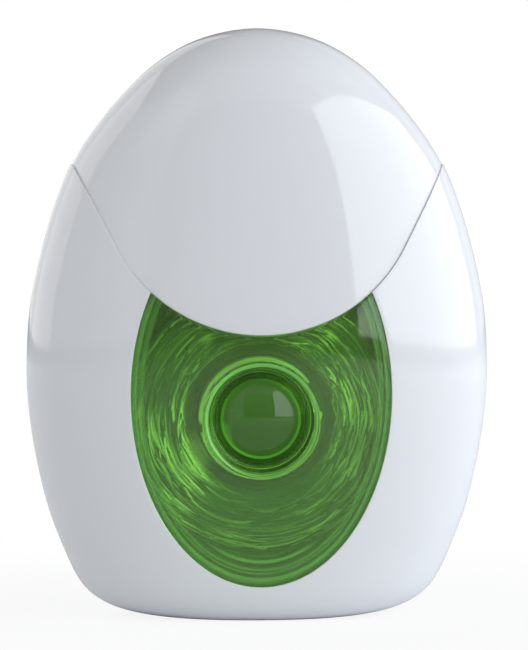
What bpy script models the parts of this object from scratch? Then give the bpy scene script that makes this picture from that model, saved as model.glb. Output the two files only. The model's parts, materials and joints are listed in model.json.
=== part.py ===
"""Egg-shaped dental floss dispenser with a flip lid and a tinted window, built as separate pieces.

Run it with: blender --background --python part.py
Lengths are in metres and +Z is up. The front faces -Y, and the origin is under the middle of the base.
"""

import math

import bmesh
import bpy
from mathutils import Matrix, Vector

MM = 0.001

# The egg-shaped body, front to back and over the lid
BODY_HEIGHT = 68.0 * MM
BODY_WIDTH = 53.6 * MM
BODY_DEPTH = 25.0 * MM
SHELL_WALL = 1.2 * MM
# A level section is a superellipse of this power, and its depth is the width share to the second power
SECTION_POWER = 2.3
DEPTH_POWER = 0.6
# Half-width and height along the front outline, from the edge of the flat base to the crown
OUTLINE_SHARES = (
    (0.400, 0.000),
    (0.610, 0.013),
    (0.725, 0.037),
    (0.785, 0.066),
    (0.835, 0.108),
    (0.905, 0.180),
    (0.957, 0.264),
    (0.989, 0.345),
    (1.000, 0.425),
    (0.985, 0.525),
    (0.941, 0.613),
    (0.880, 0.697),
    (0.800, 0.775),
    (0.705, 0.832),
    (0.595, 0.884),
    (0.445, 0.940),
    (0.245, 0.983),
    (0.000, 1.000),
)
OUTLINE_STEPS = 12
SKIN_RINGS = 26
SKIN_SEGMENTS = 44
LINING_RINGS = 18
LINING_SEGMENTS = 32

# Clearances
SEAT_GAP = 0.3 * MM
PARTING_GAP = 0.3 * MM
CUT_OVERRUN = 2.0 * MM

# The lid's edge: an arc round the tongue, then straight flares up to the side corners
LID_HEIGHT = 15.7 * MM
LID_ARC_RADIUS = 18.9 * MM
LID_ARC_HALF_ANGLE = math.radians(62.0)
LID_ARC_STEPS = 20
# The tongue's tip hangs this far below the top of the cassette's drum
TONGUE_DROP = 6.8 * MM

# The hinge behind the lid: one knuckle on the lid between two on the rear shell
KNUCKLE_RADIUS = 1.5 * MM
HINGE_INSET = 0.3 * MM
LID_KNUCKLE_LENGTH = 8.0 * MM
SHELL_KNUCKLE_LENGTH = 3.2 * MM
HINGE_PIN_RADIUS = 0.6 * MM
HINGE_PIN_PLAY = 0.08 * MM
HINGE_SEGMENTS = 16

# The snap that holds the lid shut: a bar inside the tongue, under a bar on the cassette
SNAP_BAR_RADIUS = 0.6 * MM
SNAP_BAR_LENGTH = 6.0 * MM
SNAP_BAR_RISE = 3.9 * MM
SNAP_BAR_SPACING = 1.7 * MM

# The window in the front shell, an ellipse whose top the lid covers
WINDOW_WIDTH = 30.0 * MM
WINDOW_SILL = 3.9 * MM
WINDOW_TOP_DROP = 3.2 * MM
WINDOW_STEPS = 48
LENS_WALL = 1.3 * MM
FLANGE_WIDTH = 1.5 * MM
FLANGE_BACK_INSET = 2.8 * MM
LENS_BACK_INSET = 2.65 * MM

# The tinted cassette: a drum round the floss, with a neck over it that fills the shells under the lid
CASSETTE_INSET = 2.0 * MM
CASSETTE_WALL = 1.1 * MM
DRUM_FLOOR_HEIGHT = 6.9 * MM
DRUM_STEPS = 30
SHELF_DROP = 2.1 * MM
SHELF_SLOPE = math.radians(8.0)
CROWN_ROOM = 11.0 * MM
# The window cover's skirt ends this far in front of the deck's opening
COVER_SKIRT = 1.54 * MM

# The hollow hub in the window, which is the bobbin's axle
HUB_RIM_RADIUS = 6.05 * MM
HUB_MARGIN = 3.65 * MM
HUB_RIM_ROUND = 0.45 * MM
HUB_FLOOR_RADIUS = 4.8 * MM
HUB_DEPTH = 3.2 * MM
HUB_DOME_RISE = 1.8 * MM
HUB_WALL = 1.1 * MM
HUB_SEGMENTS = 32
ROUND_STEPS = 4
AXLE_RADIUS = 5.6 * MM
AXLE_WALL = 1.2 * MM
STUB_LENGTH = 3.0 * MM
BORE_PLAY = 0.2 * MM

# The bobbin and its floss
CORE_WALL = 1.2 * MM
BOBBIN_END_PLAY = 0.5 * MM
FLOSS_PACK_SETBACK = 0.4 * MM
FLOSS_DIAMETER = 0.6 * MM
FLOSS_PITCH = 1.15 * MM
FLOSS_EDGE_RADIUS = 1.4 * MM
FLOSS_DRUM_CLEARANCE = 0.6 * MM
LOOP_POINTS = 24
MOST_LOOPS = 18

# The deck on top of the cassette, with the outlet and the slots for the cutter's legs
DECK_LENGTH = 16.0 * MM
DECK_WIDTH = 8.4 * MM
DECK_THICKNESS = 1.0 * MM
DECK_PLUG_MARGIN = 1.2 * MM
DECK_PLUG_DEPTH = 2.4 * MM
DECK_CORNER_STEPS = 8
OUTLET_OFFSET = 4.5 * MM
OUTLET_RADIUS = 0.9 * MM
OUTLET_SEGMENTS = 16

# The cutter, stamped from steel strip, with its sharp tongue raised towards the outlet
CUTTER_THICKNESS = 0.3 * MM
CUTTER_LENGTH = 6.8 * MM
CUTTER_WIDTH = 5.2 * MM
CUTTER_RIGHT_EDGE = 0.2 * MM
CUTTER_SLOT_LENGTH = 3.8 * MM
CUTTER_SLOT_WIDTH = 3.0 * MM
CUTTER_SLOT_START = 1.4 * MM
TONGUE_WIDTH = 2.2 * MM
TONGUE_RISE = 2.05 * MM
TONGUE_OVERHANG = 0.6 * MM
TONGUE_ROOT = 0.4 * MM
TONGUE_POINT = 1.3 * MM
CUTTER_LEG_LENGTH = 1.8 * MM
CUTTER_LEG_WIDTH = 2.0 * MM

# The strand from the winding to the cutter
LEAD_DIAMETER = 0.5 * MM
LEAD_CLEARANCE = 0.25 * MM
LEAD_STEP = 1.25 * MM
LEAD_DIP = 0.4 * MM
LEAD_BEND = 1.1 * MM
LEAD_TAIL = 2.0 * MM

# The pegs that hold the two shells together, and the posts that hold the cassette forwards
PEG_RADIUS = 1.3 * MM
PEG_SOCKET_WALL = 1.0 * MM
PEG_ENGAGEMENT = 3.5 * MM
PEG_SEGMENTS = 16
PEG_SHARES = ((0.56, 0.11), (0.80, 0.39))
POST_RADIUS = 1.5 * MM
POST_SHARES = ((-0.34, 0.20), (0.34, 0.20), (0.0, 0.60))

# Where the pieces meet, worked out from the sizes above
LID_LEVEL = BODY_HEIGHT - LID_HEIGHT
DRUM_OUTER = HUB_RIM_RADIUS + HUB_MARGIN + TONGUE_DROP
DRUM_INNER = DRUM_OUTER - CASSETTE_WALL
HUB_LEVEL = DRUM_FLOOR_HEIGHT + DRUM_OUTER
TONGUE_LEVEL = HUB_LEVEL + HUB_RIM_RADIUS + HUB_MARGIN
SHELF_LEVEL = TONGUE_LEVEL - SHELF_DROP
NECK_TOP = BODY_HEIGHT - CROWN_ROOM
DECK_BOTTOM = NECK_TOP + SEAT_GAP
DECK_TOP = DECK_BOTTOM + DECK_THICKNESS
CUTTER_BOTTOM = DECK_TOP + SEAT_GAP
CAVITY_INSET = CASSETTE_INSET + CASSETTE_WALL
CORE_BORE = AXLE_RADIUS + BORE_PLAY
CORE_OUTER = CORE_BORE + CORE_WALL

# Points of one mesh nearer than this are one point, and edges sharper than the angle stay sharp
WELD_DISTANCE = 0.01 * MM
SLIVER_DISTANCE = 0.05 * MM
SHARP_ANGLE = math.radians(35.0)

# Colour, roughness and metallic value
COLOURS = {
    "shell_white": ((0.86, 0.87, 0.90), 0.12, 0.0),
    "tinted_green": ((0.16, 0.50, 0.13), 0.08, 0.0),
    "core_white": ((0.82, 0.83, 0.82), 0.35, 0.0),
    "floss": ((0.90, 0.92, 0.88), 0.55, 0.0),
    "steel": ((0.62, 0.63, 0.65), 0.25, 1.0),
}


def clear_scene():
    for obj in list(bpy.data.objects):
        bpy.data.objects.remove(obj, do_unlink=True)


def make_collection(name):
    collection = bpy.data.collections.new(name)
    bpy.context.scene.collection.children.link(collection)
    return collection


def make_material(name):
    colour, roughness, metallic = COLOURS[name]
    material = bpy.data.materials.new(name)
    material.use_nodes = True
    shader = material.node_tree.nodes["Principled BSDF"]
    shader.inputs["Base Color"].default_value = (*colour, 1.0)
    shader.inputs["Roughness"].default_value = roughness
    shader.inputs["Metallic"].default_value = metallic
    return material


def helper(name, data):
    """An object that only shapes others."""
    obj = bpy.data.objects.new(name, data)
    HELPERS.objects.link(obj)
    obj.hide_render = True
    obj.display_type = "WIRE"
    return obj


def piece(obj, name, material):
    """Makes a helper one of the dispenser's own pieces, and closes the slivers that its cuts left."""
    HELPERS.objects.unlink(obj)
    PIECES.objects.link(obj)
    obj.name = name
    if any(modifier.type == "BOOLEAN" for modifier in obj.modifiers):
        weld = obj.modifiers.new("close slivers", "WELD")
        weld.merge_threshold = SLIVER_DISTANCE
    obj.hide_render = False
    obj.display_type = "TEXTURED"
    obj.data.materials.append(material)
    return obj


def from_bmesh(name, bm):
    mesh = bpy.data.meshes.new(name)
    bm.to_mesh(mesh)
    bm.free()
    return helper(name, mesh)


def combine(obj, operation, *others):
    for other in others:
        modifier = obj.modifiers.new(f"{operation.lower()} {other.name}", "BOOLEAN")
        modifier.operation = operation
        modifier.solver = "EXACT"
        modifier.object = other
    return obj


def cut(obj, *cutters):
    return combine(obj, "DIFFERENCE", *cutters)


def join(obj, *others):
    return combine(obj, "UNION", *others)


def keep_inside(obj, *others):
    return combine(obj, "INTERSECT", *others)


def blend_through(points, share, span):
    """A point on the smooth curve through four neighbours, between the middle two."""
    before, start, end, after = points[span : span + 4]
    square, cube = share * share, share**3
    return tuple(
        0.5
        * (
            2 * b
            + (c - a) * share
            + (2 * a - 5 * b + 4 * c - d) * square
            + (3 * b - a - 3 * c + d) * cube
        )
        for a, b, c, d in zip(before, start, end, after)
    )


def smooth_curve(points, steps):
    """Points on a smooth curve through these, whose first and last only give its end directions."""
    curve = [
        blend_through(points, step / steps, span)
        for span in range(len(points) - 3)
        for step in range(steps)
    ]
    return [*curve, tuple(points[-2])]


def evenly_spaced(curve, count):
    """This many steps of equal length along a curve."""
    lengths = [0.0]
    for a, b in zip(curve, curve[1:]):
        lengths.append(lengths[-1] + math.dist(a, b))
    spaced, place = [], 0
    for step in range(count + 1):
        wanted = lengths[-1] * step / count
        while place < len(curve) - 2 and lengths[place + 1] < wanted:
            place += 1
        share = (wanted - lengths[place]) / (lengths[place + 1] - lengths[place])
        share = min(max(share, 0.0), 1.0)
        spaced.append(tuple(a + (b - a) * share for a, b in zip(curve[place], curve[place + 1])))
    return spaced


def egg_outline():
    """Width and height shares, from the flat base's edge to the crown."""
    before = (0.0, OUTLINE_SHARES[0][1])
    after = (-OUTLINE_SHARES[-2][0], OUTLINE_SHARES[-2][1])
    points = smooth_curve([before, *OUTLINE_SHARES, after], OUTLINE_STEPS)
    return [(max(width, 0.0), min(max(height, 0.0), 1.0)) for width, height in points]


OUTLINE = egg_outline()


def width_share_at(level, inset):
    """The half-width share of the egg, taken in by inset, at a height above the base."""
    height = (level - inset) / (BODY_HEIGHT - 2 * inset)
    for (w0, h0), (w1, h1) in zip(OUTLINE, OUTLINE[1:]):
        if h0 <= height <= h1 and h1 > h0:
            return w0 + (w1 - w0) * (height - h0) / (h1 - h0)
    return 0.0


def skin_depth(x, level, inset):
    """How far the egg's skin, taken in by inset, lies from its middle plane."""
    share = width_share_at(level, inset)
    half_width = (BODY_WIDTH / 2 - inset) * share
    half_depth = (BODY_DEPTH / 2 - inset) * share**DEPTH_POWER
    return half_depth * (1 - abs(x / half_width) ** SECTION_POWER) ** (1 / SECTION_POWER)


def signed_power(value, power):
    return math.copysign(abs(value) ** power, value)


def egg(name, inset, rings, segments):
    """A closed egg, taken in by inset: level sections lofted from the flat base to the crown."""
    bm = bmesh.new()
    half_width, half_depth = BODY_WIDTH / 2 - inset, BODY_DEPTH / 2 - inset
    stations = evenly_spaced(OUTLINE, rings)
    loops = []
    for width_share, height_share in stations[:-1]:
        z = inset + (BODY_HEIGHT - 2 * inset) * height_share
        loop = []
        for step in range(segments):
            angle = 2 * math.pi * (step + 0.5) / segments
            across = signed_power(math.cos(angle), 2 / SECTION_POWER)
            along = signed_power(math.sin(angle), 2 / SECTION_POWER)
            x = half_width * width_share * across
            y = half_depth * width_share**DEPTH_POWER * along
            loop.append(bm.verts.new((x, y, z)))
        loops.append(loop)
    crown = bm.verts.new((0.0, 0.0, BODY_HEIGHT - inset))
    bm.faces.new(reversed(loops[0]))
    for lower, upper in zip(loops, loops[1:]):
        for step in range(segments):
            after = (step + 1) % segments
            bm.faces.new((lower[step], lower[after], upper[after], upper[step]))
    for step in range(segments):
        bm.faces.new((loops[-1][step], loops[-1][(step + 1) % segments], crown))
    bmesh.ops.triangulate(bm, faces=bm.faces)
    return from_bmesh(name, bm)


def skin(name):
    return egg(name, 0.0, SKIN_RINGS, SKIN_SEGMENTS)


def lining(name, inset):
    return egg(name, inset, LINING_RINGS, LINING_SEGMENTS)


def box(name, low, high):
    low, high = Vector(low), Vector(high)
    bm = bmesh.new()
    scale = Matrix.Diagonal((*(high - low), 1.0))
    bmesh.ops.create_cube(bm, size=1.0, matrix=Matrix.Translation((low + high) / 2) @ scale)
    return from_bmesh(name, bm)


def rods(name, ends, radius, segments):
    """Straight round rods, each between two points."""
    bm = bmesh.new()
    for start, end in ends:
        run = Vector(end) - Vector(start)
        turn = run.to_track_quat("Z", "Y").to_matrix().to_4x4()
        place = Matrix.Translation((Vector(start) + Vector(end)) / 2) @ turn
        bmesh.ops.create_cone(
            bm,
            cap_ends=True,
            segments=segments,
            radius1=radius,
            radius2=radius,
            depth=run.length,
            matrix=place,
        )
    return from_bmesh(name, bm)


def meshed(obj, name):
    """A mesh helper of a curve, with its caps welded to its sides."""
    bpy.context.view_layer.update()
    graph = bpy.context.evaluated_depsgraph_get()
    mesh = bpy.data.meshes.new_from_object(obj.evaluated_get(graph))
    bm = bmesh.new()
    bm.from_mesh(mesh)
    bmesh.ops.remove_doubles(bm, verts=bm.verts, dist=WELD_DISTANCE)
    bm.to_mesh(mesh)
    bm.free()
    made = helper(name, mesh)
    made.matrix_world = obj.matrix_world.copy()
    bpy.data.objects.remove(obj)
    return made


def plate(name, outline, near, far, upright=True):
    """A flat outline between two levels: upright, from y near to y far, or lying, from z to z."""
    curve = bpy.data.curves.new(name, "CURVE")
    curve.dimensions = "2D"
    curve.fill_mode = "BOTH"
    curve.extrude = (far - near) / 2
    spline = curve.splines.new("POLY")
    spline.points.add(len(outline) - 1)
    for point, (across, up) in zip(spline.points, outline):
        point.co = (across, up, 0.0, 1.0)
    spline.use_cyclic_u = True
    guide = helper(name + "_outline", curve)
    middle = (near + far) / 2
    if upright:
        guide.rotation_euler = (math.pi / 2, 0.0, 0.0)
        guide.location = (0.0, middle, 0.0)
    else:
        guide.location = (0.0, 0.0, middle)
    return meshed(guide, name)


def turned(name, profile, centre, segments, closed=False):
    """A profile of radius and distance towards the front, turned about a line along Y."""
    mesh = bpy.data.meshes.new(name)
    corners = [(radius, 0.0, forward) for radius, forward in profile]
    edges = [(n, n + 1) for n in range(len(corners) - 1)]
    if closed:
        edges.append((len(corners) - 1, 0))
    mesh.from_pydata(corners, edges, [])
    obj = helper(name, mesh)
    screw = obj.modifiers.new("turn", "SCREW")
    screw.steps = screw.render_steps = segments
    screw.use_merge_vertices = True
    screw.merge_threshold = WELD_DISTANCE
    obj.rotation_euler = (math.pi / 2, 0.0, 0.0)
    obj.location = centre
    return obj


def arc(centre, radius, start, end, steps):
    return [
        (
            centre[0] + radius * math.cos(start + (end - start) * step / steps),
            centre[1] + radius * math.sin(start + (end - start) * step / steps),
        )
        for step in range(steps + 1)
    ]


def lid_edge(drop):
    """The lid's front edge, lowered by drop: down a flare, round the tongue and up the other flare."""
    down = -math.pi / 2
    centre = (0.0, TONGUE_LEVEL + LID_ARC_RADIUS)
    radius = LID_ARC_RADIUS + drop
    round_part = arc(
        centre, radius, down - LID_ARC_HALF_ANGLE, down + LID_ARC_HALF_ANGLE, LID_ARC_STEPS
    )
    end_x, end_z = round_part[-1]
    high_x = end_x + (BODY_HEIGHT - end_z) / math.tan(LID_ARC_HALF_ANGLE)
    return [(-high_x, BODY_HEIGHT), *round_part, (high_x, BODY_HEIGHT)]


def lid_region(name, drop):
    """All the space of the lid: above a level plane, and down to its edge in front."""
    side = BODY_WIDTH / 2 + CUT_OVERRUN
    top = BODY_HEIGHT + CUT_OVERRUN
    reach = BODY_DEPTH / 2 + CUT_OVERRUN
    region = box(name, (-side, -reach, LID_LEVEL - drop), (side, reach, top))
    tongue = plate(name + "_tongue", lid_edge(drop), -reach - CUT_OVERRUN, 0.0)
    return join(region, tongue)


def ellipse(half_width, half_height, level):
    """An upright ellipse, as points."""
    return [
        (
            half_width * math.cos(2 * math.pi * step / WINDOW_STEPS),
            level + half_height * math.sin(2 * math.pi * step / WINDOW_STEPS),
        )
        for step in range(WINDOW_STEPS)
    ]


def window_prism(name, margin, back):
    """The window's ellipse, grown by margin, from in front of the body to y back."""
    top = LID_LEVEL - WINDOW_TOP_DROP
    half_height = (top - WINDOW_SILL) / 2
    outline = ellipse(WINDOW_WIDTH / 2 + margin, half_height + margin, WINDOW_SILL + half_height)
    return plate(name, outline, -BODY_DEPTH / 2 - CUT_OVERRUN, back)


def keyhole(name, taken_in, near, far):
    """The cassette's front outline, the drum with the neck over it, between two depths."""
    radius = DRUM_OUTER - taken_in
    shelf = SHELF_LEVEL + taken_in
    side = BODY_WIDTH / 2
    shoulder = math.asin((shelf - HUB_LEVEL) / radius)
    round_part = arc((0.0, HUB_LEVEL), radius, math.pi - shoulder, 2 * math.pi + shoulder, DRUM_STEPS)
    end = shelf + (side - round_part[-1][0]) * math.tan(SHELF_SLOPE)
    top = NECK_TOP - taken_in
    outline = [(-side, top), (-side, end), *round_part, (side, end), (side, top)]
    return plate(name, outline, near, far)


def hinge_axis():
    return Vector((0.0, skin_depth(0.0, LID_LEVEL, 0.0) - HINGE_INSET, LID_LEVEL - PARTING_GAP / 2))


def along_hinge(start, end):
    centre = hinge_axis()
    return centre + Vector((start, 0.0, 0.0)), centre + Vector((end, 0.0, 0.0))


def shell_knuckle_ends(extra):
    """Both knuckles of the rear shell, made longer at each end by extra."""
    inner = LID_KNUCKLE_LENGTH / 2 + PARTING_GAP - extra
    outer = LID_KNUCKLE_LENGTH / 2 + PARTING_GAP + SHELL_KNUCKLE_LENGTH + extra
    return [along_hinge(inner, outer), along_hinge(-outer, -inner)]


def hinge_bore(name):
    reach = LID_KNUCKLE_LENGTH / 2 + SHELL_KNUCKLE_LENGTH + CUT_OVERRUN
    radius = HINGE_PIN_RADIUS + HINGE_PIN_PLAY
    return rods(name, [along_hinge(-reach, reach)], radius, HINGE_SEGMENTS)


def snap_bar(name, level, inset):
    """A round bar across the middle, centred on the front skin taken in by inset."""
    y = -skin_depth(0.0, level, inset)
    ends = [(-SNAP_BAR_LENGTH / 2, y, level), (SNAP_BAR_LENGTH / 2, y, level)]
    return rods(name, [ends], SNAP_BAR_RADIUS, HINGE_SEGMENTS)


def make_lid(material):
    lid = keep_inside(skin("lid"), lid_region("lid_region", 0.0))
    cut(lid, lining("lid_inside", SHELL_WALL))
    relief = rods(
        "shell_knuckle_relief",
        shell_knuckle_ends(PARTING_GAP),
        KNUCKLE_RADIUS + PARTING_GAP,
        HINGE_SEGMENTS,
    )
    cut(lid, relief)
    half = LID_KNUCKLE_LENGTH / 2
    knuckle = rods("lid_knuckle", [along_hinge(-half, half)], KNUCKLE_RADIUS, HINGE_SEGMENTS)
    join(lid, knuckle, snap_bar("lid_snap_bar", TONGUE_LEVEL + SNAP_BAR_RISE, SHELL_WALL))
    cut(lid, hinge_bore("lid_knuckle_bore"))
    return piece(lid, "lid", material)


def peg_places():
    """Both sides of each peg, as x and z."""
    for across, up in PEG_SHARES:
        for side in (-1, 1):
            yield side * across * BODY_WIDTH / 2, up * BODY_HEIGHT


def trimmed_rods(name, ends, radius, segments):
    """Rods that end inside the shell's wall."""
    return keep_inside(
        rods(name, ends, radius, segments), lining(name + "_trim", SHELL_WALL / 2)
    )


def make_front_shell(material):
    side, top = BODY_WIDTH / 2 + CUT_OVERRUN, BODY_HEIGHT + CUT_OVERRUN
    reach = BODY_DEPTH / 2 + CUT_OVERRUN
    front_half = box(
        "front_half", (-side, -reach, -CUT_OVERRUN), (side, -PARTING_GAP / 2, top)
    )
    shell = keep_inside(skin("front_shell"), front_half)
    cut(shell, lid_region("lid_clearance_front", PARTING_GAP))
    cut(shell, lining("front_inside", SHELL_WALL))
    cut(shell, window_prism("window_opening", 0.0, 0.0))
    pegs = [((x, -reach, z), (x, PEG_ENGAGEMENT, z)) for x, z in peg_places()]
    join(shell, trimmed_rods("pegs", pegs, PEG_RADIUS, PEG_SEGMENTS))
    return piece(shell, "front_shell", material)


def make_rear_shell(material):
    side = BODY_WIDTH / 2 + CUT_OVERRUN
    reach = BODY_DEPTH / 2 + CUT_OVERRUN
    rear_half = box(
        "rear_half",
        (-side, PARTING_GAP / 2, -CUT_OVERRUN),
        (side, reach, LID_LEVEL - PARTING_GAP),
    )
    shell = keep_inside(skin("rear_shell"), rear_half)
    cut(shell, lining("rear_inside", SHELL_WALL))
    half = LID_KNUCKLE_LENGTH / 2 + PARTING_GAP
    relief = rods(
        "lid_knuckle_relief",
        [along_hinge(-half, half)],
        KNUCKLE_RADIUS + PARTING_GAP,
        HINGE_SEGMENTS,
    )
    cut(shell, relief)
    knuckles = rods("shell_knuckles", shell_knuckle_ends(0.0), KNUCKLE_RADIUS, HINGE_SEGMENTS)
    sockets = [((x, PARTING_GAP, z), (x, reach, z)) for x, z in peg_places()]
    posts = [
        (
            (across * BODY_WIDTH / 2, drum_back() + SEAT_GAP, up * BODY_HEIGHT),
            (across * BODY_WIDTH / 2, reach, up * BODY_HEIGHT),
        )
        for across, up in POST_SHARES
    ]
    socket_radius = PEG_RADIUS + SEAT_GAP
    join(
        shell,
        knuckles,
        trimmed_rods("peg_sockets", sockets, socket_radius + PEG_SOCKET_WALL, PEG_SEGMENTS),
        trimmed_rods("cassette_posts", posts, POST_RADIUS, PEG_SEGMENTS),
    )
    bores = [((x, -SEAT_GAP, z), (x, PEG_ENGAGEMENT + SEAT_GAP, z)) for x, z in peg_places()]
    cut(shell, rods("peg_bores", bores, socket_radius, PEG_SEGMENTS))
    cut(shell, hinge_bore("shell_knuckle_bore"))
    return piece(shell, "rear_shell", material)


def make_hinge_pin(material):
    half = LID_KNUCKLE_LENGTH / 2 + PARTING_GAP + SHELL_KNUCKLE_LENGTH
    pin = rods("hinge_pin", [along_hinge(-half, half)], HINGE_PIN_RADIUS, HINGE_SEGMENTS)
    return piece(pin, "hinge_pin", material)


def drum_half_depth():
    """How far the cassette's inner front skin lies from the middle plane at the drum's sides."""
    return skin_depth(DRUM_INNER, HUB_LEVEL, CAVITY_INSET)


def drum_back():
    """The flat back of the cassette."""
    return drum_half_depth()


def chamber_back():
    return drum_back() - CASSETTE_WALL


def cover_seam():
    """Where the window cover ends and the cassette cup begins."""
    _, opening_half = deck_plug_half(SEAT_GAP)
    return -(opening_half + COVER_SKIRT)


def cup_front():
    return cover_seam() + SEAT_GAP


def hub_face():
    return skin_depth(0.0, HUB_LEVEL, 0.0)


def hub_well(name):
    """The hollow at the hub's front, with a rounded rim and a domed floor."""
    face = skin_depth(0.0, HUB_LEVEL - HUB_RIM_RADIUS, 0.0)
    floor = face - HUB_DEPTH
    rim = arc(
        (HUB_RIM_RADIUS, face - HUB_RIM_ROUND), HUB_RIM_ROUND, math.pi / 2, math.pi, ROUND_STEPS
    )
    dome = [
        (
            HUB_FLOOR_RADIUS * (1 - step / ROUND_STEPS),
            floor + HUB_DOME_RISE * math.sin(math.pi / 2 * step / ROUND_STEPS),
        )
        for step in range(ROUND_STEPS + 1)
    ]
    top = hub_face() + CUT_OVERRUN
    profile = [(0.0, top), (HUB_RIM_RADIUS, top), *rim, *dome]
    return turned(name, profile, (0.0, 0.0, HUB_LEVEL), HUB_SEGMENTS)


def hub_post(name):
    """The solid of the hub and the axle behind it."""
    front = hub_face() - LENS_WALL / 2
    floor = skin_depth(0.0, HUB_LEVEL - HUB_RIM_RADIUS, 0.0) - HUB_DEPTH
    back = -(chamber_back() - BOBBIN_END_PLAY)
    profile = [
        (0.0, front),
        (HUB_RIM_RADIUS + HUB_WALL, front),
        (HUB_FLOOR_RADIUS + HUB_WALL, floor),
        (AXLE_RADIUS, floor - HUB_WALL),
        (AXLE_RADIUS, back),
        (0.0, back),
    ]
    return turned(name, profile, (0.0, 0.0, HUB_LEVEL), HUB_SEGMENTS)


def hub_bore(name):
    """The axle's bore, open at the back."""
    floor = skin_depth(0.0, HUB_LEVEL - HUB_RIM_RADIUS, 0.0) - HUB_DEPTH - HUB_WALL
    start = (0.0, -floor, HUB_LEVEL)
    end = (0.0, chamber_back() + CUT_OVERRUN, HUB_LEVEL)
    return rods(name, [(start, end)], AXLE_RADIUS - AXLE_WALL, HUB_SEGMENTS)


def cassette_shell(name, near, far, inner_far):
    """The cassette's walls between two depths, hollow as far back as inner_far."""
    shell = keep_inside(lining(name, CASSETTE_INSET), keyhole(name + "_outside", 0.0, near, far))
    hollow = keep_inside(
        lining(name + "_hollow", CAVITY_INSET),
        keyhole(name + "_inside", CASSETTE_WALL, near - CUT_OVERRUN, inner_far),
    )
    return cut(shell, hollow)


def make_window_cover(material):
    seam = cover_seam()
    reach = BODY_DEPTH / 2 + CUT_OVERRUN
    cover = cassette_shell("window_cover", -reach, seam, seam + CUT_OVERRUN)
    lens = keep_inside(skin("lens"), window_prism("lens_outline", -PARTING_GAP, seam))
    cut(lens, lining("lens_back", LENS_BACK_INSET))
    flange = keep_inside(
        lining("flange", SHELL_WALL + SEAT_GAP), window_prism("flange_outline", FLANGE_WIDTH, seam)
    )
    cut(flange, lining("flange_back", FLANGE_BACK_INSET))
    join(lens, flange)
    cut(lens, lid_region("lens_top", PARTING_GAP))
    join(cover, lens)
    recess = keep_inside(
        lining("lens_recess", LENS_WALL),
        window_prism("lens_recess_outline", -PARTING_GAP - LENS_WALL, seam),
    )
    cut(
        recess,
        lid_region("lens_recess_top", PARTING_GAP + LENS_WALL),
        lining("lens_recess_depth", CAVITY_INSET + SEAT_GAP),
    )
    cut(cover, recess)
    level = TONGUE_LEVEL + SNAP_BAR_RISE + SNAP_BAR_SPACING
    join(cover, hub_post("hub_post"), snap_bar("cassette_snap_bar", level, CASSETTE_INSET))
    cut(cover, hub_well("hub_well"), hub_bore("hub_bore"))
    return piece(cover, "window_cover", material)


def make_cassette_cup(material):
    cup = cassette_shell("cassette_cup", cup_front(), drum_back(), chamber_back())
    stub_radius = AXLE_RADIUS - AXLE_WALL - BORE_PLAY
    stub_tip = chamber_back() - BOBBIN_END_PLAY - STUB_LENGTH
    stub_root = (0.0, (drum_back() + chamber_back()) / 2, HUB_LEVEL)
    stub = rods("axle_stub", [((0.0, stub_tip, HUB_LEVEL), stub_root)], stub_radius, HUB_SEGMENTS)
    join(cup, stub)
    half_x, half_y = deck_plug_half(SEAT_GAP)
    opening = box(
        "deck_opening",
        (-half_x, -half_y, NECK_TOP - CASSETTE_WALL - CUT_OVERRUN),
        (half_x, half_y, NECK_TOP + CUT_OVERRUN),
    )
    cut(cup, opening)
    return piece(cup, "cassette_cup", material)


def bobbin_front():
    return -(drum_half_depth() - BOBBIN_END_PLAY)


def bobbin_back():
    return chamber_back() - BOBBIN_END_PLAY


def make_bobbin_core(material):
    front, back = -bobbin_front(), -bobbin_back()
    profile = [(CORE_BORE, front), (CORE_OUTER, front), (CORE_OUTER, back), (CORE_BORE, back)]
    core = turned("bobbin_core", profile, (0.0, 0.0, HUB_LEVEL), HUB_SEGMENTS, closed=True)
    return piece(core, "bobbin_core", material)


def winding_radius():
    """From the bobbin's axis to the middle of the outermost strand."""
    return DRUM_INNER - FLOSS_DRUM_CLEARANCE - FLOSS_DIAMETER / 2


def wound_profile(under):
    """The wound floss in section, over its front face and back along its rim, this far under the strand."""
    inner, outer = CORE_OUTER + SEAT_GAP, winding_radius() - under
    front = -(bobbin_front() + FLOSS_DIAMETER / 2 + under)
    rounding = FLOSS_EDGE_RADIUS - under
    edge = arc((outer - rounding, front - rounding), rounding, math.pi / 2, 0.0, ROUND_STEPS)
    return [(inner, front), *edge, (outer, -(bobbin_back() - FLOSS_PACK_SETBACK))]


def make_floss_pack(material):
    profile = wound_profile(FLOSS_DIAMETER / 2 + SEAT_GAP)
    inner, back = profile[0][0], profile[-1][1]
    profile.append((inner, back))
    pack = turned("floss_pack", profile, (0.0, 0.0, HUB_LEVEL), HUB_SEGMENTS, closed=True)
    return piece(pack, "floss_pack", material)


def winding_path():
    """One strand, spiralling out over the front of the pack and then back round its outside."""
    (inner, front), *edge, (outer, back) = wound_profile(0.0)
    ends = [(inner + FLOSS_DIAMETER / 2, front), *edge, (outer, back + FLOSS_DIAMETER / 2)]
    length = sum(math.dist(a, b) for a, b in zip(ends, ends[1:]))
    loops = min(MOST_LOOPS, int(length / FLOSS_PITCH))
    steps = evenly_spaced(ends, loops * LOOP_POINTS)
    start = lead_angle() + 2 * math.pi * len(steps) / LOOP_POINTS
    path = []
    for step, (radius, forward) in enumerate(steps):
        angle = start - 2 * math.pi * (step + 1) / LOOP_POINTS
        path.append((radius * math.cos(angle), -forward, HUB_LEVEL + radius * math.sin(angle)))
    return [straight_end(path[1], path[0]), *path, straight_end(path[-2], path[-1])]


def straight_end(before, last):
    """A point one strand's diameter past the last, straight on."""
    run = Vector(last) - Vector(before)
    return tuple(Vector(last) + run.normalized() * FLOSS_DIAMETER)


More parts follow.
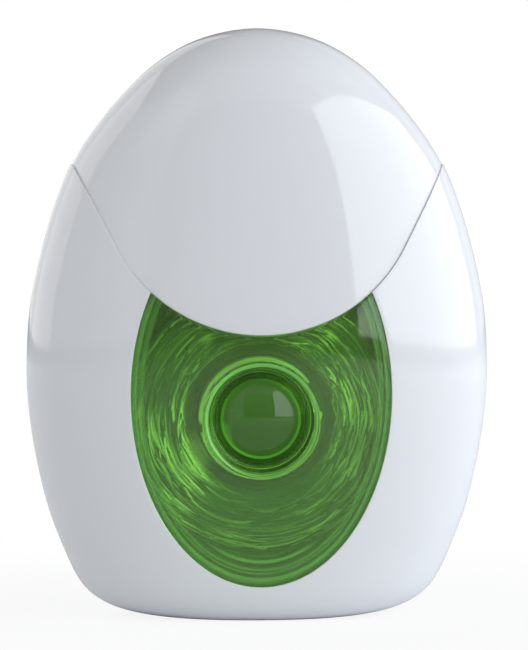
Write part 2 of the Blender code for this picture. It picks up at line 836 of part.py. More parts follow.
def least_gap(path, diameter):
    """The least gap of a coiled strand to itself, leaving out its near neighbours along the path."""
    points = [Vector(point) for point in path]
    apart = LOOP_POINTS // 2
    return min(
        (a - b).length - diameter
        for n, a in enumerate(points)
        for b in points[n + apart :]
    )


def strand(name, path, diameter, sides_level):
    """A round strand along a path, with capped ends."""
    curve = bpy.data.curves.new(name, "CURVE")
    curve.dimensions = "3D"
    curve.bevel_depth = diameter / 2
    curve.bevel_resolution = sides_level
    curve.use_fill_caps = True
    spline = curve.splines.new("POLY")
    spline.points.add(len(path) - 1)
    for point, place in zip(spline.points, path):
        point.co = (*place, 1.0)
    return helper(name, curve)


def make_floss_winding(material):
    path = winding_path()
    gap = least_gap(path, FLOSS_DIAMETER)
    print(f"floss_winding: least gap to itself {gap / MM:.2f} mm")
    return piece(strand("floss_winding", path, FLOSS_DIAMETER, 1), "floss_winding", material)


def deck_plug_half(extra):
    return (
        DECK_LENGTH / 2 - DECK_PLUG_MARGIN + extra,
        DECK_WIDTH / 2 - DECK_PLUG_MARGIN + extra,
    )


def cutter_span():
    """The cutter's left and right edges."""
    return -CUTTER_RIGHT_EDGE - CUTTER_LENGTH, -CUTTER_RIGHT_EDGE


def leg_places():
    """The middle of each leg of the cutter, as x and y."""
    left, right = cutter_span()
    for side in (-1, 1):
        yield (left + right) / 2, side * (CUTTER_WIDTH - CUTTER_THICKNESS) / 2


def make_cutter_deck(material):
    half_x, half_y = DECK_LENGTH / 2, DECK_WIDTH / 2
    straight = half_x - half_y
    right = arc((straight, 0.0), half_y, -math.pi / 2, math.pi / 2, DECK_CORNER_STEPS)
    left = arc((-straight, 0.0), half_y, math.pi / 2, 3 * math.pi / 2, DECK_CORNER_STEPS)
    deck = plate("cutter_deck", [*right, *left], DECK_BOTTOM, DECK_TOP, upright=False)
    plug_x, plug_y = deck_plug_half(0.0)
    middle = (DECK_BOTTOM + DECK_TOP) / 2
    plug = box(
        "deck_plug", (-plug_x, -plug_y, DECK_BOTTOM - DECK_PLUG_DEPTH), (plug_x, plug_y, middle)
    )
    outlet = rods(
        "outlet",
        [
            (
                (OUTLET_OFFSET, 0.0, DECK_BOTTOM - DECK_PLUG_DEPTH - CUT_OVERRUN),
                (OUTLET_OFFSET, 0.0, DECK_TOP + CUT_OVERRUN),
            )
        ],
        OUTLET_RADIUS,
        OUTLET_SEGMENTS,
    )
    join(deck, plug)
    cut(deck, outlet)
    half_leg = CUTTER_LEG_WIDTH / 2 + SEAT_GAP
    half_slot = CUTTER_THICKNESS / 2 + SEAT_GAP
    bottom = CUTTER_BOTTOM - CUTTER_LEG_LENGTH - SEAT_GAP
    for n, (x, y) in enumerate(leg_places()):
        slot = box(
            f"leg_slot_{n}",
            (x - half_leg, y - half_slot, bottom),
            (x + half_leg, y + half_slot, DECK_TOP + CUT_OVERRUN),
        )
        cut(deck, slot)
    return piece(deck, "cutter_deck", material)


def cutter_tongue(name):
    """The raised tongue, a sloping strip whose free end comes to a point."""
    left, right = cutter_span()
    middle = CUTTER_BOTTOM + CUTTER_THICKNESS / 2
    root = right - CUTTER_SLOT_START - CUTTER_SLOT_LENGTH - TONGUE_ROOT
    tip = right - CUTTER_SLOT_START + TONGUE_OVERHANG
    run = Vector((tip - root, 0.0, TONGUE_RISE))
    half, shoulder = TONGUE_WIDTH / 2, run.length - TONGUE_POINT
    outline = [(0.0, -half), (shoulder, -half), (run.length, 0.0), (shoulder, half), (0.0, half)]
    tongue = plate(name, outline, -CUTTER_THICKNESS / 2, CUTTER_THICKNESS / 2, upright=False)
    tongue.rotation_euler = (0.0, -math.atan2(run.z, run.x), 0.0)
    tongue.location = (root, 0.0, middle)
    return tongue


def make_cutter(material):
    left, right = cutter_span()
    half = CUTTER_WIDTH / 2
    top = CUTTER_BOTTOM + CUTTER_THICKNESS
    cutter = box("cutter", (left, -half, CUTTER_BOTTOM), (right, half, top))
    slot_right = right - CUTTER_SLOT_START
    slot = box(
        "cutter_slot",
        (slot_right - CUTTER_SLOT_LENGTH, -CUTTER_SLOT_WIDTH / 2, CUTTER_BOTTOM - CUT_OVERRUN),
        (slot_right, CUTTER_SLOT_WIDTH / 2, top + CUT_OVERRUN),
    )
    cut(cutter, slot)
    for n, (x, y) in enumerate(leg_places()):
        leg = box(
            f"cutter_leg_{n}",
            (x - CUTTER_LEG_WIDTH / 2, y - CUTTER_THICKNESS / 2, CUTTER_BOTTOM - CUTTER_LEG_LENGTH),
            (x + CUTTER_LEG_WIDTH / 2, y + CUTTER_THICKNESS / 2, top),
        )
        join(cutter, leg)
    join(cutter, cutter_tongue("cutter_tongue"))
    return piece(cutter, "cutter", material)


def lead_radius():
    """From the bobbin's axis to the strand that leaves the winding."""
    return winding_radius() + (FLOSS_DIAMETER + LEAD_DIAMETER) / 2 + LEAD_CLEARANCE


def under_outlet():
    return Vector((OUTLET_OFFSET, 0.0, DECK_BOTTOM - DECK_PLUG_DEPTH - LEAD_BEND))


def lead_angle():
    """Where on the winding's upper left the strand to the outlet leaves it."""
    run = under_outlet() - Vector((0.0, 0.0, HUB_LEVEL))
    return math.atan2(run.z, run.x) + math.acos(lead_radius() / run.length)


def lead_path():
    """From beside the winding's upper left, up through the outlet and over to the cutter's tongue."""
    outlet, angle = under_outlet(), lead_angle()
    hub = Vector((0.0, 0.0, HUB_LEVEL))
    start = hub + lead_radius() * Vector((math.cos(angle), 0.0, math.sin(angle)))
    over = CUTTER_BOTTOM + CUTTER_THICKNESS + SEAT_GAP + LEAD_DIAMETER / 2
    _, right = cutter_span()
    bar = right - CUTTER_SLOT_START
    route = [
        start - (outlet - start).normalized() * LEAD_STEP,
        start,
        start.lerp(outlet, 0.4),
        start.lerp(outlet, 0.75),
        outlet,
        Vector((OUTLET_OFFSET, 0.0, DECK_BOTTOM - DECK_PLUG_DEPTH / 2)),
        Vector((OUTLET_OFFSET, 0.0, DECK_TOP - LEAD_DIAMETER)),
        Vector((OUTLET_OFFSET - LEAD_BEND, 0.0, over)),
        Vector((right, 0.0, over)),
        Vector((bar, 0.0, over)),
        Vector((bar - LEAD_TAIL, 0.0, over - LEAD_DIP)),
        Vector((bar - 2 * LEAD_TAIL, 0.0, over - 2 * LEAD_DIP)),
    ]
    curve = smooth_curve([tuple(point) for point in route], OUTLINE_STEPS)
    length = sum(math.dist(a, b) for a, b in zip(curve, curve[1:]))
    print(f"floss_lead: {length / MM:.1f} mm long")
    return evenly_spaced(curve, max(1, round(length / LEAD_STEP)))


def make_floss_lead(material):
    return piece(strand("floss_lead", lead_path(), LEAD_DIAMETER, 2), "floss_lead", material)


def turn_about(name, place, *pieces):
    """An empty on a joint's axis, which these pieces turn with."""
    pivot = bpy.data.objects.new(name, None)
    PIECES.objects.link(pivot)
    pivot.location = place
    for obj in pieces:
        obj.parent = pivot
        obj.matrix_parent_inverse = Matrix.Translation(place).inverted()


def shade_round_pieces():
    for obj in PIECES.objects:
        if obj.type == "MESH":
            obj.data.shade_smooth()
            obj.data.set_sharp_from_angle(angle=SHARP_ANGLE)


def build():
    white = make_material("shell_white")
    green = make_material("tinted_green")
    core_white = make_material("core_white")
    floss = make_material("floss")
    steel = make_material("steel")
    make_front_shell(white)
    make_rear_shell(white)
    make_hinge_pin(steel)
    make_window_cover(green)
    make_cassette_cup(green)
    make_cutter_deck(core_white)
    make_cutter(steel)
    make_floss_lead(floss)
    turn_about("lid_pivot", hinge_axis(), make_lid(white))
    turn_about(
        "bobbin_pivot",
        Vector((0.0, 0.0, HUB_LEVEL)),
        make_bobbin_core(core_white),
        make_floss_pack(floss),
        make_floss_winding(floss),
    )
    shade_round_pieces()


clear_scene()
PIECES = make_collection("floss_dispenser")
HELPERS = make_collection("shaping_helpers")
build()
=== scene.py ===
"""Looks of the egg-shaped floss dispenser: glossy white shells, and floss behind a clear green window."""

import json
import math

import bmesh
import bpy
import numpy as np
from mathutils import Matrix, Vector


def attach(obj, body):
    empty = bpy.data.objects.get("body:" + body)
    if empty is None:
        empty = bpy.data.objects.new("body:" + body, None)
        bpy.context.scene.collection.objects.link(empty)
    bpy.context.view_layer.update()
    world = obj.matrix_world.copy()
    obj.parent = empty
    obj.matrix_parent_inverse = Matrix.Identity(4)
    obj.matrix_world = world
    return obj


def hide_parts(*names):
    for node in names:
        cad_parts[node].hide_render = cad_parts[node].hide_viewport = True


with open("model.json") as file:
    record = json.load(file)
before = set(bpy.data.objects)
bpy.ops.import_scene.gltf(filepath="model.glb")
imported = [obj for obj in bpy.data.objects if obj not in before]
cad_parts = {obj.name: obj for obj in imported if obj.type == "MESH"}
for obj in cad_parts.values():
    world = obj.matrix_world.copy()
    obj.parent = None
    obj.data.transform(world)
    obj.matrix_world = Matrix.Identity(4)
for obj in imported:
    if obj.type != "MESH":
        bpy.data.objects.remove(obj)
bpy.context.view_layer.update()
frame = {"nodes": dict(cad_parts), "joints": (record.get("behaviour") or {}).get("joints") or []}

MM = 0.001

# The photograph's frame, and where its camera stood
VIEW_DISTANCE = 450 * MM
VIEW_HEIGHT = 75.6 * MM
VIEW_AZIMUTH = math.radians(-2.7)
VIEW_ELEVATION = math.radians(3.3)
VIEW_TARGET = Vector((0.8 * MM, 0.0, 33.6 * MM))
SENSOR_HEIGHT = 24.0

# The egg-shaped body
BODY_HEIGHT = 68.0 * MM
BODY_WIDTH = 53.6 * MM
BODY_DEPTH = 25.0 * MM
SHELL_WALL = 1.2 * MM
SECTION_POWER = 2.3
SECTION_EASE = 0.25
DEPTH_POWER = 0.6
OUTLINE_EASE = 0.9 * MM
EDGE_ROUND = 0.07 * MM

# Its outline from the edge of the base to the crown, in shares of half the width and of the height
OUTLINE_SHARES = (
    (0.400, 0.000),
    (0.610, 0.013),
    (0.725, 0.037),
    (0.785, 0.066),
    (0.835, 0.108),
    (0.905, 0.180),
    (0.957, 0.264),
    (0.989, 0.345),
    (1.000, 0.425),
    (0.985, 0.525),
    (0.941, 0.613),
    (0.880, 0.697),
    (0.800, 0.775),
    (0.705, 0.832),
    (0.595, 0.884),
    (0.445, 0.940),
    (0.245, 0.983),
    (0.000, 1.000),
)

# Clearances
SEAT_GAP = 0.3 * MM
PARTING_GAP = 0.3 * MM
SEAM_GAP = 0.04 * MM
OVERRUN = 2.0 * MM

# The lid's edge, hinge and snap
LID_LEVEL = 52.3 * MM
TONGUE_LEVEL = 33.1 * MM
LID_INSET = 0.26 * MM
LID_ARC_RADIUS = 18.6 * MM
LID_ARC_HALF_ANGLE = math.radians(62.0)
KNUCKLE_RADIUS = 1.5 * MM
KNUCKLE_BORE = 0.68 * MM
LID_KNUCKLE_LENGTH = 8.0 * MM
SHELL_KNUCKLE_LENGTH = 3.2 * MM
SNAP_BAR_RADIUS = 0.6 * MM
SNAP_BAR_LENGTH = 6.0 * MM
SNAP_BAR_RISE = 3.9 * MM
SNAP_BAR_SPACING = 1.7 * MM
ROD_ROUND = 0.12 * MM

# The window and the cassette behind it
WINDOW_HALF_WIDTH = 14.9 * MM
WINDOW_SILL = 4.2 * MM
WINDOW_TOP = 48.2 * MM
PANE_WALL = 1.8 * MM
PANE_SIDE_WEB = 0.3 * MM
PANE_SIDE_TUCK = 0.8 * MM
PANE_TOP_WEB = 1.1 * MM
PANE_TUCK = 1.0 * MM
PANE_ROUND = 0.25 * MM
HOLE_SIDE_TUCK = 1.2 * PANE_SIDE_TUCK
HOLE_TOP_TUCK = 0.6 * PANE_TUCK
FLANGE_WIDTH = 1.5 * MM
FLANGE_BACK = 2.8 * MM
CASSETTE_INSET = 2.0 * MM
CASSETTE_WALL = 1.1 * MM
CASSETTE_SEAM = -4.84 * MM
SHELF_LEVEL = 31.0 * MM
SHELF_SLOPE = math.radians(8.0)
NECK_TOP = 57.0 * MM
DRUM_RADIUS = 16.5 * MM

# The hub in the window, and the axle behind it
HUB_RIM_RADIUS = 6.05 * MM
HUB_RIM_ROUND = 0.45 * MM
HUB_APRON = 0.25 * MM
HUB_DOME_RADIUS = 5.0 * MM
HUB_DOME_CURVE = 8.5 * MM
HUB_FLOOR_RADIUS = 5.75 * MM
HUB_DEPTH = 2.7 * MM
HUB_WALL = 0.5 * MM
HUB_ROOT_ROUND = 0.2 * MM
AXLE_RADIUS = 5.6 * MM
AXLE_WALL = 1.2 * MM
AXLE_BACK = 5.94 * MM
AXLE_EDGE = 0.15 * MM
AXLE_ROOT = 0.3 * MM
BORE_EDGE = 0.1 * MM

# Where the clear moulding is matt: the hub's rim, the window's border and a line along its sill
MATT_RIM_SHIFT = 0.16 * MM
MATT_RIM_RADIUS = 6.35 * MM
MATT_RIM_EDGE = 0.15 * MM
MATT_RIM_FRONT = (11.0 * MM, 11.6 * MM)
BORDER_WIDTH = 1.5 * MM
BORDER_EDGE = 0.4 * MM
BORDER_FRONT = (4.0 * MM, 5.0 * MM)
SILL_LINE = (1.9 * MM, 2.15 * MM)
SILL_LINE_EDGE = 0.06 * MM
SILL_LINE_TOP = (7.5 * MM, 10.5 * MM)

# The floss, wound on the bobbin
CORE_RADIUS = 7.15 * MM
WOUND_INNER = 8.6 * MM
WOUND_OUTER = 15.0 * MM
WOUND_FRONT = 6.75 * MM
WOUND_BACK = -5.25 * MM
WOUND_LAPS = 110
WOUND_SEED = 4
WOUND_FRONT_SHARE = 0.36
WANDER = 0.12 * MM
WANDER_STEPS = 60
INNER_DIP = 2.8 * MM
DIP_START = 9.2 * MM
DIP_END = 8.2 * MM
STRAND_RADIUS = 0.16 * MM
FINE_STRAND_RADIUS = 0.1 * MM
PACK_OUTER = 14.6 * MM
PACK_INSET = 0.3 * MM
PACK_RIDGE = 0.26 * MM
PACK_RIDGE_HEIGHT = 0.05 * MM

# The loose arcs of floss over it: how many, their seed, how far forward they lie, and their radius
LOOSE_STRANDS = {
    "front_strands": (720, 11, WOUND_FRONT, STRAND_RADIUS),
    "fine_strands": (420, 47, WOUND_FRONT + 0.1 * MM, FINE_STRAND_RADIUS),
}
LOOSE_SPAN = (0.35, 1.5)
LOOSE_DRIFT = 1.3 * MM
LOOSE_LIFT = 0.34 * MM
LOOSE_END_DROP = 0.5 * MM

# The strand from the winding up to the cutter: its route across and up, in mm, and its two plies
LEAD_ROUTE = (
    (-12.01, 32.88),
    (-6.14, 40.32),
    (-0.27, 47.76),
    (2.12, 50.69),
    (3.33, 52.16),
    (4.4, 53.71),
    (4.6, 55.51),
    (4.5, 57.4),
    (3.83, 59.14),
    (2.04, 59.55),
    (0.15, 59.46),
    (-1.74, 59.4),
    (-3.6, 59.05),
)
LEAD_TWISTS = 9
PLY_OFFSET = 0.12 * MM
PLY_RADIUS = 0.13 * MM

# How light each part of the floss is, where 1 is the palest; the low values of the inner turns and the
# wound strand are painted shade under the loose arcs
PACK_TONE_AND_SHADE = 0.2
WOUND_TONE_AND_SHADE = 0.35
LEAD_TONE = 0.9

# Rounded edges of the pieces that keep the solids' shapes
PIN_ROUND = 0.1 * MM
CORE_ROUND = 0.15 * MM
DECK_ROUND = 0.06 * MM
CUTTER_ROUND = 0.05 * MM

# How finely the forms are drawn
OUTLINE_POINTS = 1200
SPLINE_STEPS = 40
BISECTIONS = 40
LOWEST_RUN = 0.05
TURN_SAMPLES = 4000
EDGE_SAMPLES = 2000
LID_EDGE_SAMPLES = 400
LID_COLUMNS = 239
LID_ROWS = 72
FRONT_COLUMNS = 200
FRONT_ROWS = 49
FRONT_SIDE_SHARE = 0.36
REAR_COLUMNS = 160
REAR_ROWS = 110
NOTCH_ROWS = 4
TOP_COLUMNS = 60
SIDE_COLUMNS = 180
PANE_ROWS = 26
PANE_BACK_ROWS = 20
PANE_ROUND_STEPS = 4
FLANGE_ROWS = 3
RECESS_ROWS = 4
RECESS_STEPS = 7
HUB_STEPS = 8
HUB_ANGLE_SHARE = 0.6
DOME_STEPS = 24
EGG_COLUMNS = 180
EGG_ROWS = 110
DRUM_POINTS = 120
ROD_COLUMNS = 32
ROD_STEPS = 3
PACK_COLUMNS = 96
LAP_STEPS = 30
LEAD_POINTS = 180
LEAD_STEPS = 12
LOOSE_POINTS = 13
LOOSE_SIDES = 5
POINT_RADIUS = 0.0001 * MM
GRID_MERGE = 0.002 * MM
SOLID_MERGE = 0.001 * MM
STRAND_MERGE = 0.0005 * MM

# Angles beyond which an edge is shaded sharp, or is rounded
SHARP_ANGLE = math.radians(40.0)
RIM_ANGLE = math.radians(50.0)
EDGE_ANGLE = math.radians(40.0)

# The studio's panels: azimuth in degrees, distance, width, low and high edge in metres, light, colour
PANELS = {
    "right_panel": (68, 0.50, 0.98, 0.02, 0.52, 2.95, (0.97, 1.0, 1.05)),
    "left_panel": (-58, 0.55, 0.66, 0.02, 0.62, 0.58, (1.0, 1.0, 1.0)),
    "front_panel": (-5, 0.50, 1.1, 0.40, 0.95, 0.42, (1.0, 1.0, 1.0)),
    "low_front_panel": (-5, 0.50, 1.1, 0.03, 0.40, 0.03, (1.0, 1.0, 1.0)),
    "far_left_panel": (-112, 0.55, 0.48, 0.02, 0.62, 1.7, (0.99, 1.0, 1.02)),
    "back_left_panel": (-155, 0.55, 0.36, 0.02, 0.62, 0.9, (1.0, 1.0, 1.0)),
    "back_right_panel": (145, 0.55, 0.40, 0.02, 0.62, 0.45, (0.97, 1.0, 1.03)),
}
WORLD_LIGHT = 0.15
FLOOR_REACH = 3.0
FLOOR_GLOW = 0.88
SHADOW_REACH = 0.08

# Joints, from the frame
JOINTS = {joint["name"]: joint for joint in frame["joints"]}
HINGE_AXIS = Vector(JOINTS["lid_hinge"]["pos_m"])
HUB_LEVEL = Vector(JOINTS["bobbin_spin"]["pos_m"]).z


# Shader graphs


class Socket:
    """A node's output, on which Python's operators add Math nodes."""

    def __init__(self, graph, output):
        self.graph = graph
        self.output = output

    def math(self, operation, *others):
        return self.graph.node("ShaderNodeMath", {"operation": operation}, [self, *others])

    def __add__(self, other):
        return self.math("ADD", other)

    def __sub__(self, other):
        return self.math("SUBTRACT", other)

    def __mul__(self, other):
        return self.math("MULTIPLY", other)

    def __truediv__(self, other):
        return self.math("DIVIDE", other)

    def __pow__(self, other):
        return self.math("POWER", other)

    def __rsub__(self, other):
        return self.graph.node("ShaderNodeMath", {"operation": "SUBTRACT"}, [other, self])

    __radd__ = __add__
    __rmul__ = __mul__

    def clamped(self):
        return self.graph.node("ShaderNodeClamp", {}, [self])


def distance(across, along):
    """How far a point lies from the origin, from its two sockets."""
    return (across * across + along * along) ** 0.5


class Tree:
    """A node tree, to which node() adds."""

    def __init__(self, tree):
        self.tree = tree
        self.tree.nodes.clear()

    def node(self, kind, settings=None, inputs=None, output=0):
        """Adds a node: its settings first, then its sockets' values or links, by place or by name."""
        made = self.tree.nodes.new(kind)
        for name, value in (settings or {}).items():
            setattr(made, name, value)
        pairs = inputs.items() if isinstance(inputs, dict) else enumerate(inputs or [])
        for place, value in pairs:
            socket = made.inputs[place]
            if isinstance(value, Socket):
                self.tree.links.new(value.output, socket)
            elif value is not None:
                socket.default_value = value
        return Socket(self, made.outputs[output])

    def ray(self, kind):
        return self.node("ShaderNodeLightPath", output=kind)

    def finish(self, kind, socket, result):
        output = self.tree.nodes.new(kind)
        self.tree.links.new(result.output, output.inputs[socket])


class Graph(Tree):
    """A material's nodes."""

    def __init__(self, name):
        self.material = bpy.data.materials.new(name)
        self.material.use_nodes = True
        super().__init__(self.material.node_tree)
        self.place = self.node("ShaderNodeTexCoord", output="Object")

    def noise(self, scale, detail=2.0, place=None):
        named = {"Vector": place or self.place, "Scale": scale, "Detail": detail, "Roughness": 0.5}
        return self.node("ShaderNodeTexNoise", {}, named)

    def mix_colour(self, share, first, second):
        return self.node("ShaderNodeMix", {"data_type": "RGBA"}, {0: share, 6: first, 7: second}, 2)

    def mix_shader(self, share, first, second):
        return self.node("ShaderNodeMixShader", {}, [share, first, second])

    def bump(self, height, depth, strength):
        named = {"Height": height, "Distance": depth, "Strength": strength}
        return self.node("ShaderNodeBump", {}, named)

    def axis(self, name):
        return self.node("ShaderNodeSeparateXYZ", {}, [self.place], name)

    def rise(self, value, start, end):
        """A soft step from 0 at start to 1 at end."""
        return self.node("ShaderNodeMapRange", {"interpolation_type": "SMOOTHSTEP"}, [value, start, end])

    def band(self, value, low, high, soft):
        """1 between two values, and 0 outside them, with soft ends."""
        below, above = self.rise(value, low - soft, low + soft), self.rise(value, high - soft, high + soft)
        return below * (1.0 - above)

    def principled(self, **inputs):
        named = {name.replace("_", " "): value for name, value in inputs.items()}
        return self.node("ShaderNodeBsdfPrincipled", {}, named)

    def made(self, shader):
        self.finish("ShaderNodeOutputMaterial", "Surface", shader)
        return self.material


def white_gloss_material():
    """Polished white moulding: faint orange peel, and a slight unevenness in its gloss."""
    graph = Graph("white_gloss")
    cloud = graph.noise(90.0)
    peel = graph.noise(700.0)
    shader = graph.principled(
        Base_Color=graph.mix_colour(cloud, (0.715, 0.730, 0.750, 1.0), (0.735, 0.750, 0.770, 1.0)),
        Roughness=0.05 + 0.03 * cloud,
        IOR=1.5,
        Normal=graph.bump(peel, 0.01 * MM, 0.25),
    )
    return graph.made(shader)


def frosting(graph):
    """Where the clear moulding is matt: the hub's rim, fine ridges on the border, a line at the sill."""
    x, z = graph.axis("X"), graph.axis("Z")
    forward = -1.0 * graph.axis("Y")
    up = z - HUB_LEVEL
    outside = graph.rise(distance(x, up), HUB_RIM_RADIUS, HUB_RIM_RADIUS + MATT_RIM_EDGE)
    from_rim = distance(x, up - MATT_RIM_SHIFT)
    inside = 1.0 - graph.rise(from_rim, MATT_RIM_RADIUS, MATT_RIM_RADIUS + MATT_RIM_EDGE)
    rim = outside * inside * graph.rise(forward, *MATT_RIM_FRONT)
    half_width, half_height, middle = window_ellipse(0.0)
    margin = (1.0 - distance(x / half_width, (z - middle) / half_height)) * half_width
    ridges = graph.noise(2600.0, 1.0, graph.node("ShaderNodeCombineXYZ", {}, [margin]))
    border = graph.band(margin, 0.0, BORDER_WIDTH, BORDER_EDGE) * graph.rise(forward, *BORDER_FRONT)
    sill = graph.band(margin, *SILL_LINE, SILL_LINE_EDGE) * (1.0 - graph.rise(z, *SILL_LINE_TOP))
    return (0.8 * rim + border * (0.04 + 0.28 * graph.rise(ridges, 0.42, 0.6)) + 0.3 * sill).clamped()


def clear_green_material():
    """Clear green moulding, which lets lamps shine through it, with matt edges."""
    graph = Graph("clear_green")
    flow = graph.noise(160.0)
    clear = graph.principled(
        Base_Color=(0.50, 0.89, 0.26, 1.0),
        Roughness=0.03,
        IOR=1.42,
        Transmission_Weight=0.95,
        Normal=graph.bump(flow, 0.02 * MM, 0.4),
    )
    matt = graph.principled(Base_Color=(0.19, 0.58, 0.10, 1.0), Roughness=0.3, IOR=1.59)
    body = graph.mix_shader(frosting(graph), clear, matt)
    tint = graph.node("ShaderNodeBsdfTransparent", {}, {"Color": (0.83, 0.97, 0.69, 1.0)})
    return graph.made(graph.mix_shader(graph.ray("Is Shadow Ray"), body, tint))


def core_white_material():
    """Plain white moulding with a fine moulded grain."""
    graph = Graph("core_white")
    grain = graph.noise(2500.0, 3.0)
    shade = graph.noise(120.0)
    shader = graph.principled(
        Base_Color=graph.mix_colour(shade, (0.70, 0.71, 0.70, 1.0), (0.76, 0.77, 0.76, 1.0)),
        Roughness=0.38 + 0.08 * shade,
        Normal=graph.bump(grain, 0.02 * MM, 0.4),
    )
    return graph.made(shader)


# Spots of painted light and shade on the winding's front (painted shade, painted highlight and painted
# reflection): place across and up from the hub, reach, and how much lighter they paint the strands, darker
# where below zero
FLOSS_PAINTED_LIGHT_AND_SHADE = (
    (1.5 * MM, -9.0 * MM, 9.0 * MM, -0.9),
    (-10.9 * MM, 6.5 * MM, 6.5 * MM, -0.95),
    (10.8 * MM, 7.6 * MM, 4.4 * MM, -0.7),
    (-7.6 * MM, -4.6 * MM, 3.8 * MM, 0.4),
    (-6.3 * MM, 9.4 * MM, 1.3 * MM, 0.5),
    (7.9 * MM, 9.1 * MM, 1.3 * MM, 0.5),
)


def painted_floss_light_and_shade(graph):
    """Painted light and shade on the winding: where more of the strands are painted light, and where fewer
    are.
    """
    x, up = graph.axis("X"), graph.axis("Z") - HUB_LEVEL
    painted_sum = 0.0
    for middle_x, middle_up, reach, share in FLOSS_PAINTED_LIGHT_AND_SHADE:
        away = distance(x - middle_x, up - middle_up)
        painted_sum = painted_sum + share * (1.0 - graph.rise(away, 0.3 * reach, reach))
    return painted_sum


def floss_material():
    """Waxed floss: pale strands of uneven lightness, with a waxy sheen; their dark end is a deep green
    painted shade for the gaps between strands.
    """
    graph = Graph("waxed_floss")
    tone_and_shade = graph.node("ShaderNodeAttribute", {"attribute_name": "tone_and_shade"}, output="Fac")
    fibre = graph.noise(2700.0, 3.0)
    cloud = graph.rise(graph.noise(90.0), 0.3, 0.7)
    painted_light_and_shade = painted_floss_light_and_shade(graph)
    # Spots of painted shade, painted highlight and painted reflection lighten and darken the strands here.
    strength = (0.3 + 1.6 * cloud) * (0.7 + 0.6 * fibre) * (1.0 + 0.75 * painted_light_and_shade)
    share = (tone_and_shade ** (2.4 - 3.5 * painted_light_and_shade) * strength).clamped()
    shader = graph.principled(
        # The first colour is painted shade, deep green like light among the green case's walls; the second
        # is the floss's own pale colour.
        Base_Color=graph.mix_colour(share, (0.010, 0.085, 0.003, 1.0), (0.97, 0.98, 0.94, 1.0)),
        Roughness=0.4 + 0.15 * fibre,
        Sheen_Weight=0.2,
        Normal=graph.bump(fibre, 0.03 * MM, 0.5),
    )
    return graph.made(shader)


def steel_material():
    """Bright steel strip, brushed along its length."""
    graph = Graph("bright_steel")
    along = {"Vector": graph.place, "Scale": (200.0, 4000.0, 4000.0)}
    brushed = graph.noise(1.0, 3.0, graph.node("ShaderNodeMapping", {}, along))
    shader = graph.principled(
        Base_Color=(0.62, 0.63, 0.65, 1.0),
        Metallic=1.0,
        Roughness=0.2 + 0.15 * brushed,
        Normal=graph.bump(brushed, 0.005 * MM, 0.4),
    )
    return graph.made(shader)


def paper_material():
    """White paper that keeps the shadow beside the case, and fades into a white room away from it."""
    graph = Graph("white_sweep")
    paper = graph.principled(Base_Color=(0.85, 0.86, 0.88, 1.0), Roughness=0.8)
    reach = graph.node("ShaderNodeVectorMath", {"operation": "LENGTH"}, [graph.place], "Value")
    far = graph.rise(reach, 0.3 * SHADOW_REACH, SHADOW_REACH)
    glow = graph.node("ShaderNodeEmission", {}, {"Strength": 1.0})
    glow_share = graph.ray("Is Camera Ray") * (FLOOR_GLOW + (1.0 - FLOOR_GLOW) * far)
    return graph.made(graph.mix_shader(glow_share, paper, glow))


# The egg's form


def through_points(points, steps):
    """A smooth curve through all but the first and last of these points."""
    points = np.asarray(points, float)
    before, start, end, after = points[:-3], points[1:-2], points[2:-1], points[3:]
    share = np.arange(steps)[:, None, None] / steps
    curve = 0.5 * (
        2 * start
        + (end - before) * share
        + (2 * before - 5 * start + 4 * end - after) * share**2
        + (3 * start - before - 3 * end + after) * share**3
    )
    return np.vstack([curve.transpose(1, 0, 2).reshape(-1, points.shape[1]), points[-2]])


def lengths_along(curve):
    """How far along a curve each of its points lies."""
    return np.concatenate([[0.0], np.cumsum(np.linalg.norm(np.diff(curve, axis=0), axis=1))])


def evenly_spaced(curve, count):
    """Points at equal lengths along a curve."""
    lengths = lengths_along(curve)
    wanted = np.linspace(0.0, lengths[-1], count)
    return np.stack([np.interp(wanted, lengths, column) for column in curve.T], axis=1)


def arc(angle, steps):
    """The angles that divide an arc into equal steps, from its first step to its end."""
    return [angle * step / steps for step in range(1, steps + 1)]


def egg_outline():
    """Width and height shares, even along the outline from the middle of the base to the crown."""
    before = (0.0, OUTLINE_SHARES[0][1])
    after = (-OUTLINE_SHARES[-2][0], OUTLINE_SHARES[-2][1])
    curve = through_points([before, *OUTLINE_SHARES, after], SPLINE_STEPS)
    curve = np.vstack([[(0.0, 0.0)], curve])
    size = np.array([BODY_WIDTH / 2, BODY_HEIGHT])
    even = evenly_spaced(curve * size, OUTLINE_POINTS)
    step = np.linalg.norm(even[1] - even[0])
    reach = int(3 * OUTLINE_EASE / step)
    weights = np.exp(-0.5 * (np.arange(-reach, reach + 1) * step / OUTLINE_EASE) ** 2)
    mirror = np.array([-1.0, 1.0])
    padded = np.vstack([even[reach:0:-1] * mirror, even, even[-2 : -reach - 2 : -1] * mirror])
    eased = [np.convolve(column, weights / weights.sum(), "valid") for column in padded.T]
    width, height = np.stack(eased) / size[:, None]
    height = (height - height[0]) / (height[-1] - height[0])
    return np.clip(width, 0.0, None), height


WIDTH_SHARES, HEIGHT_SHARES = egg_outline()
LAST_POINT = OUTLINE_POINTS - 1
BASE_SHARE = OUTLINE_SHARES[0][0]
WIDEST = int(np.argmax(WIDTH_SHARES))
BASE_EDGE = int(np.searchsorted(WIDTH_SHARES[:WIDEST], BASE_SHARE))
SECTION_EASED = SECTION_EASE**SECTION_POWER
SECTION_SCALE = (1 + SECTION_EASE**2) ** (SECTION_POWER / 2) - SECTION_EASED


def unit_section(share):
    """How far a section reaches along one axis, for this share of the whole turn's square."""
    square = (share * SECTION_SCALE + SECTION_EASED) ** (2 / SECTION_POWER) - SECTION_EASE**2
    return np.sqrt(np.maximum(square, 0.0))


def section_share(reach):
    """The reverse of unit_section."""
    return ((reach**2 + SECTION_EASE**2) ** (SECTION_POWER / 2) - SECTION_EASED) / SECTION_SCALE


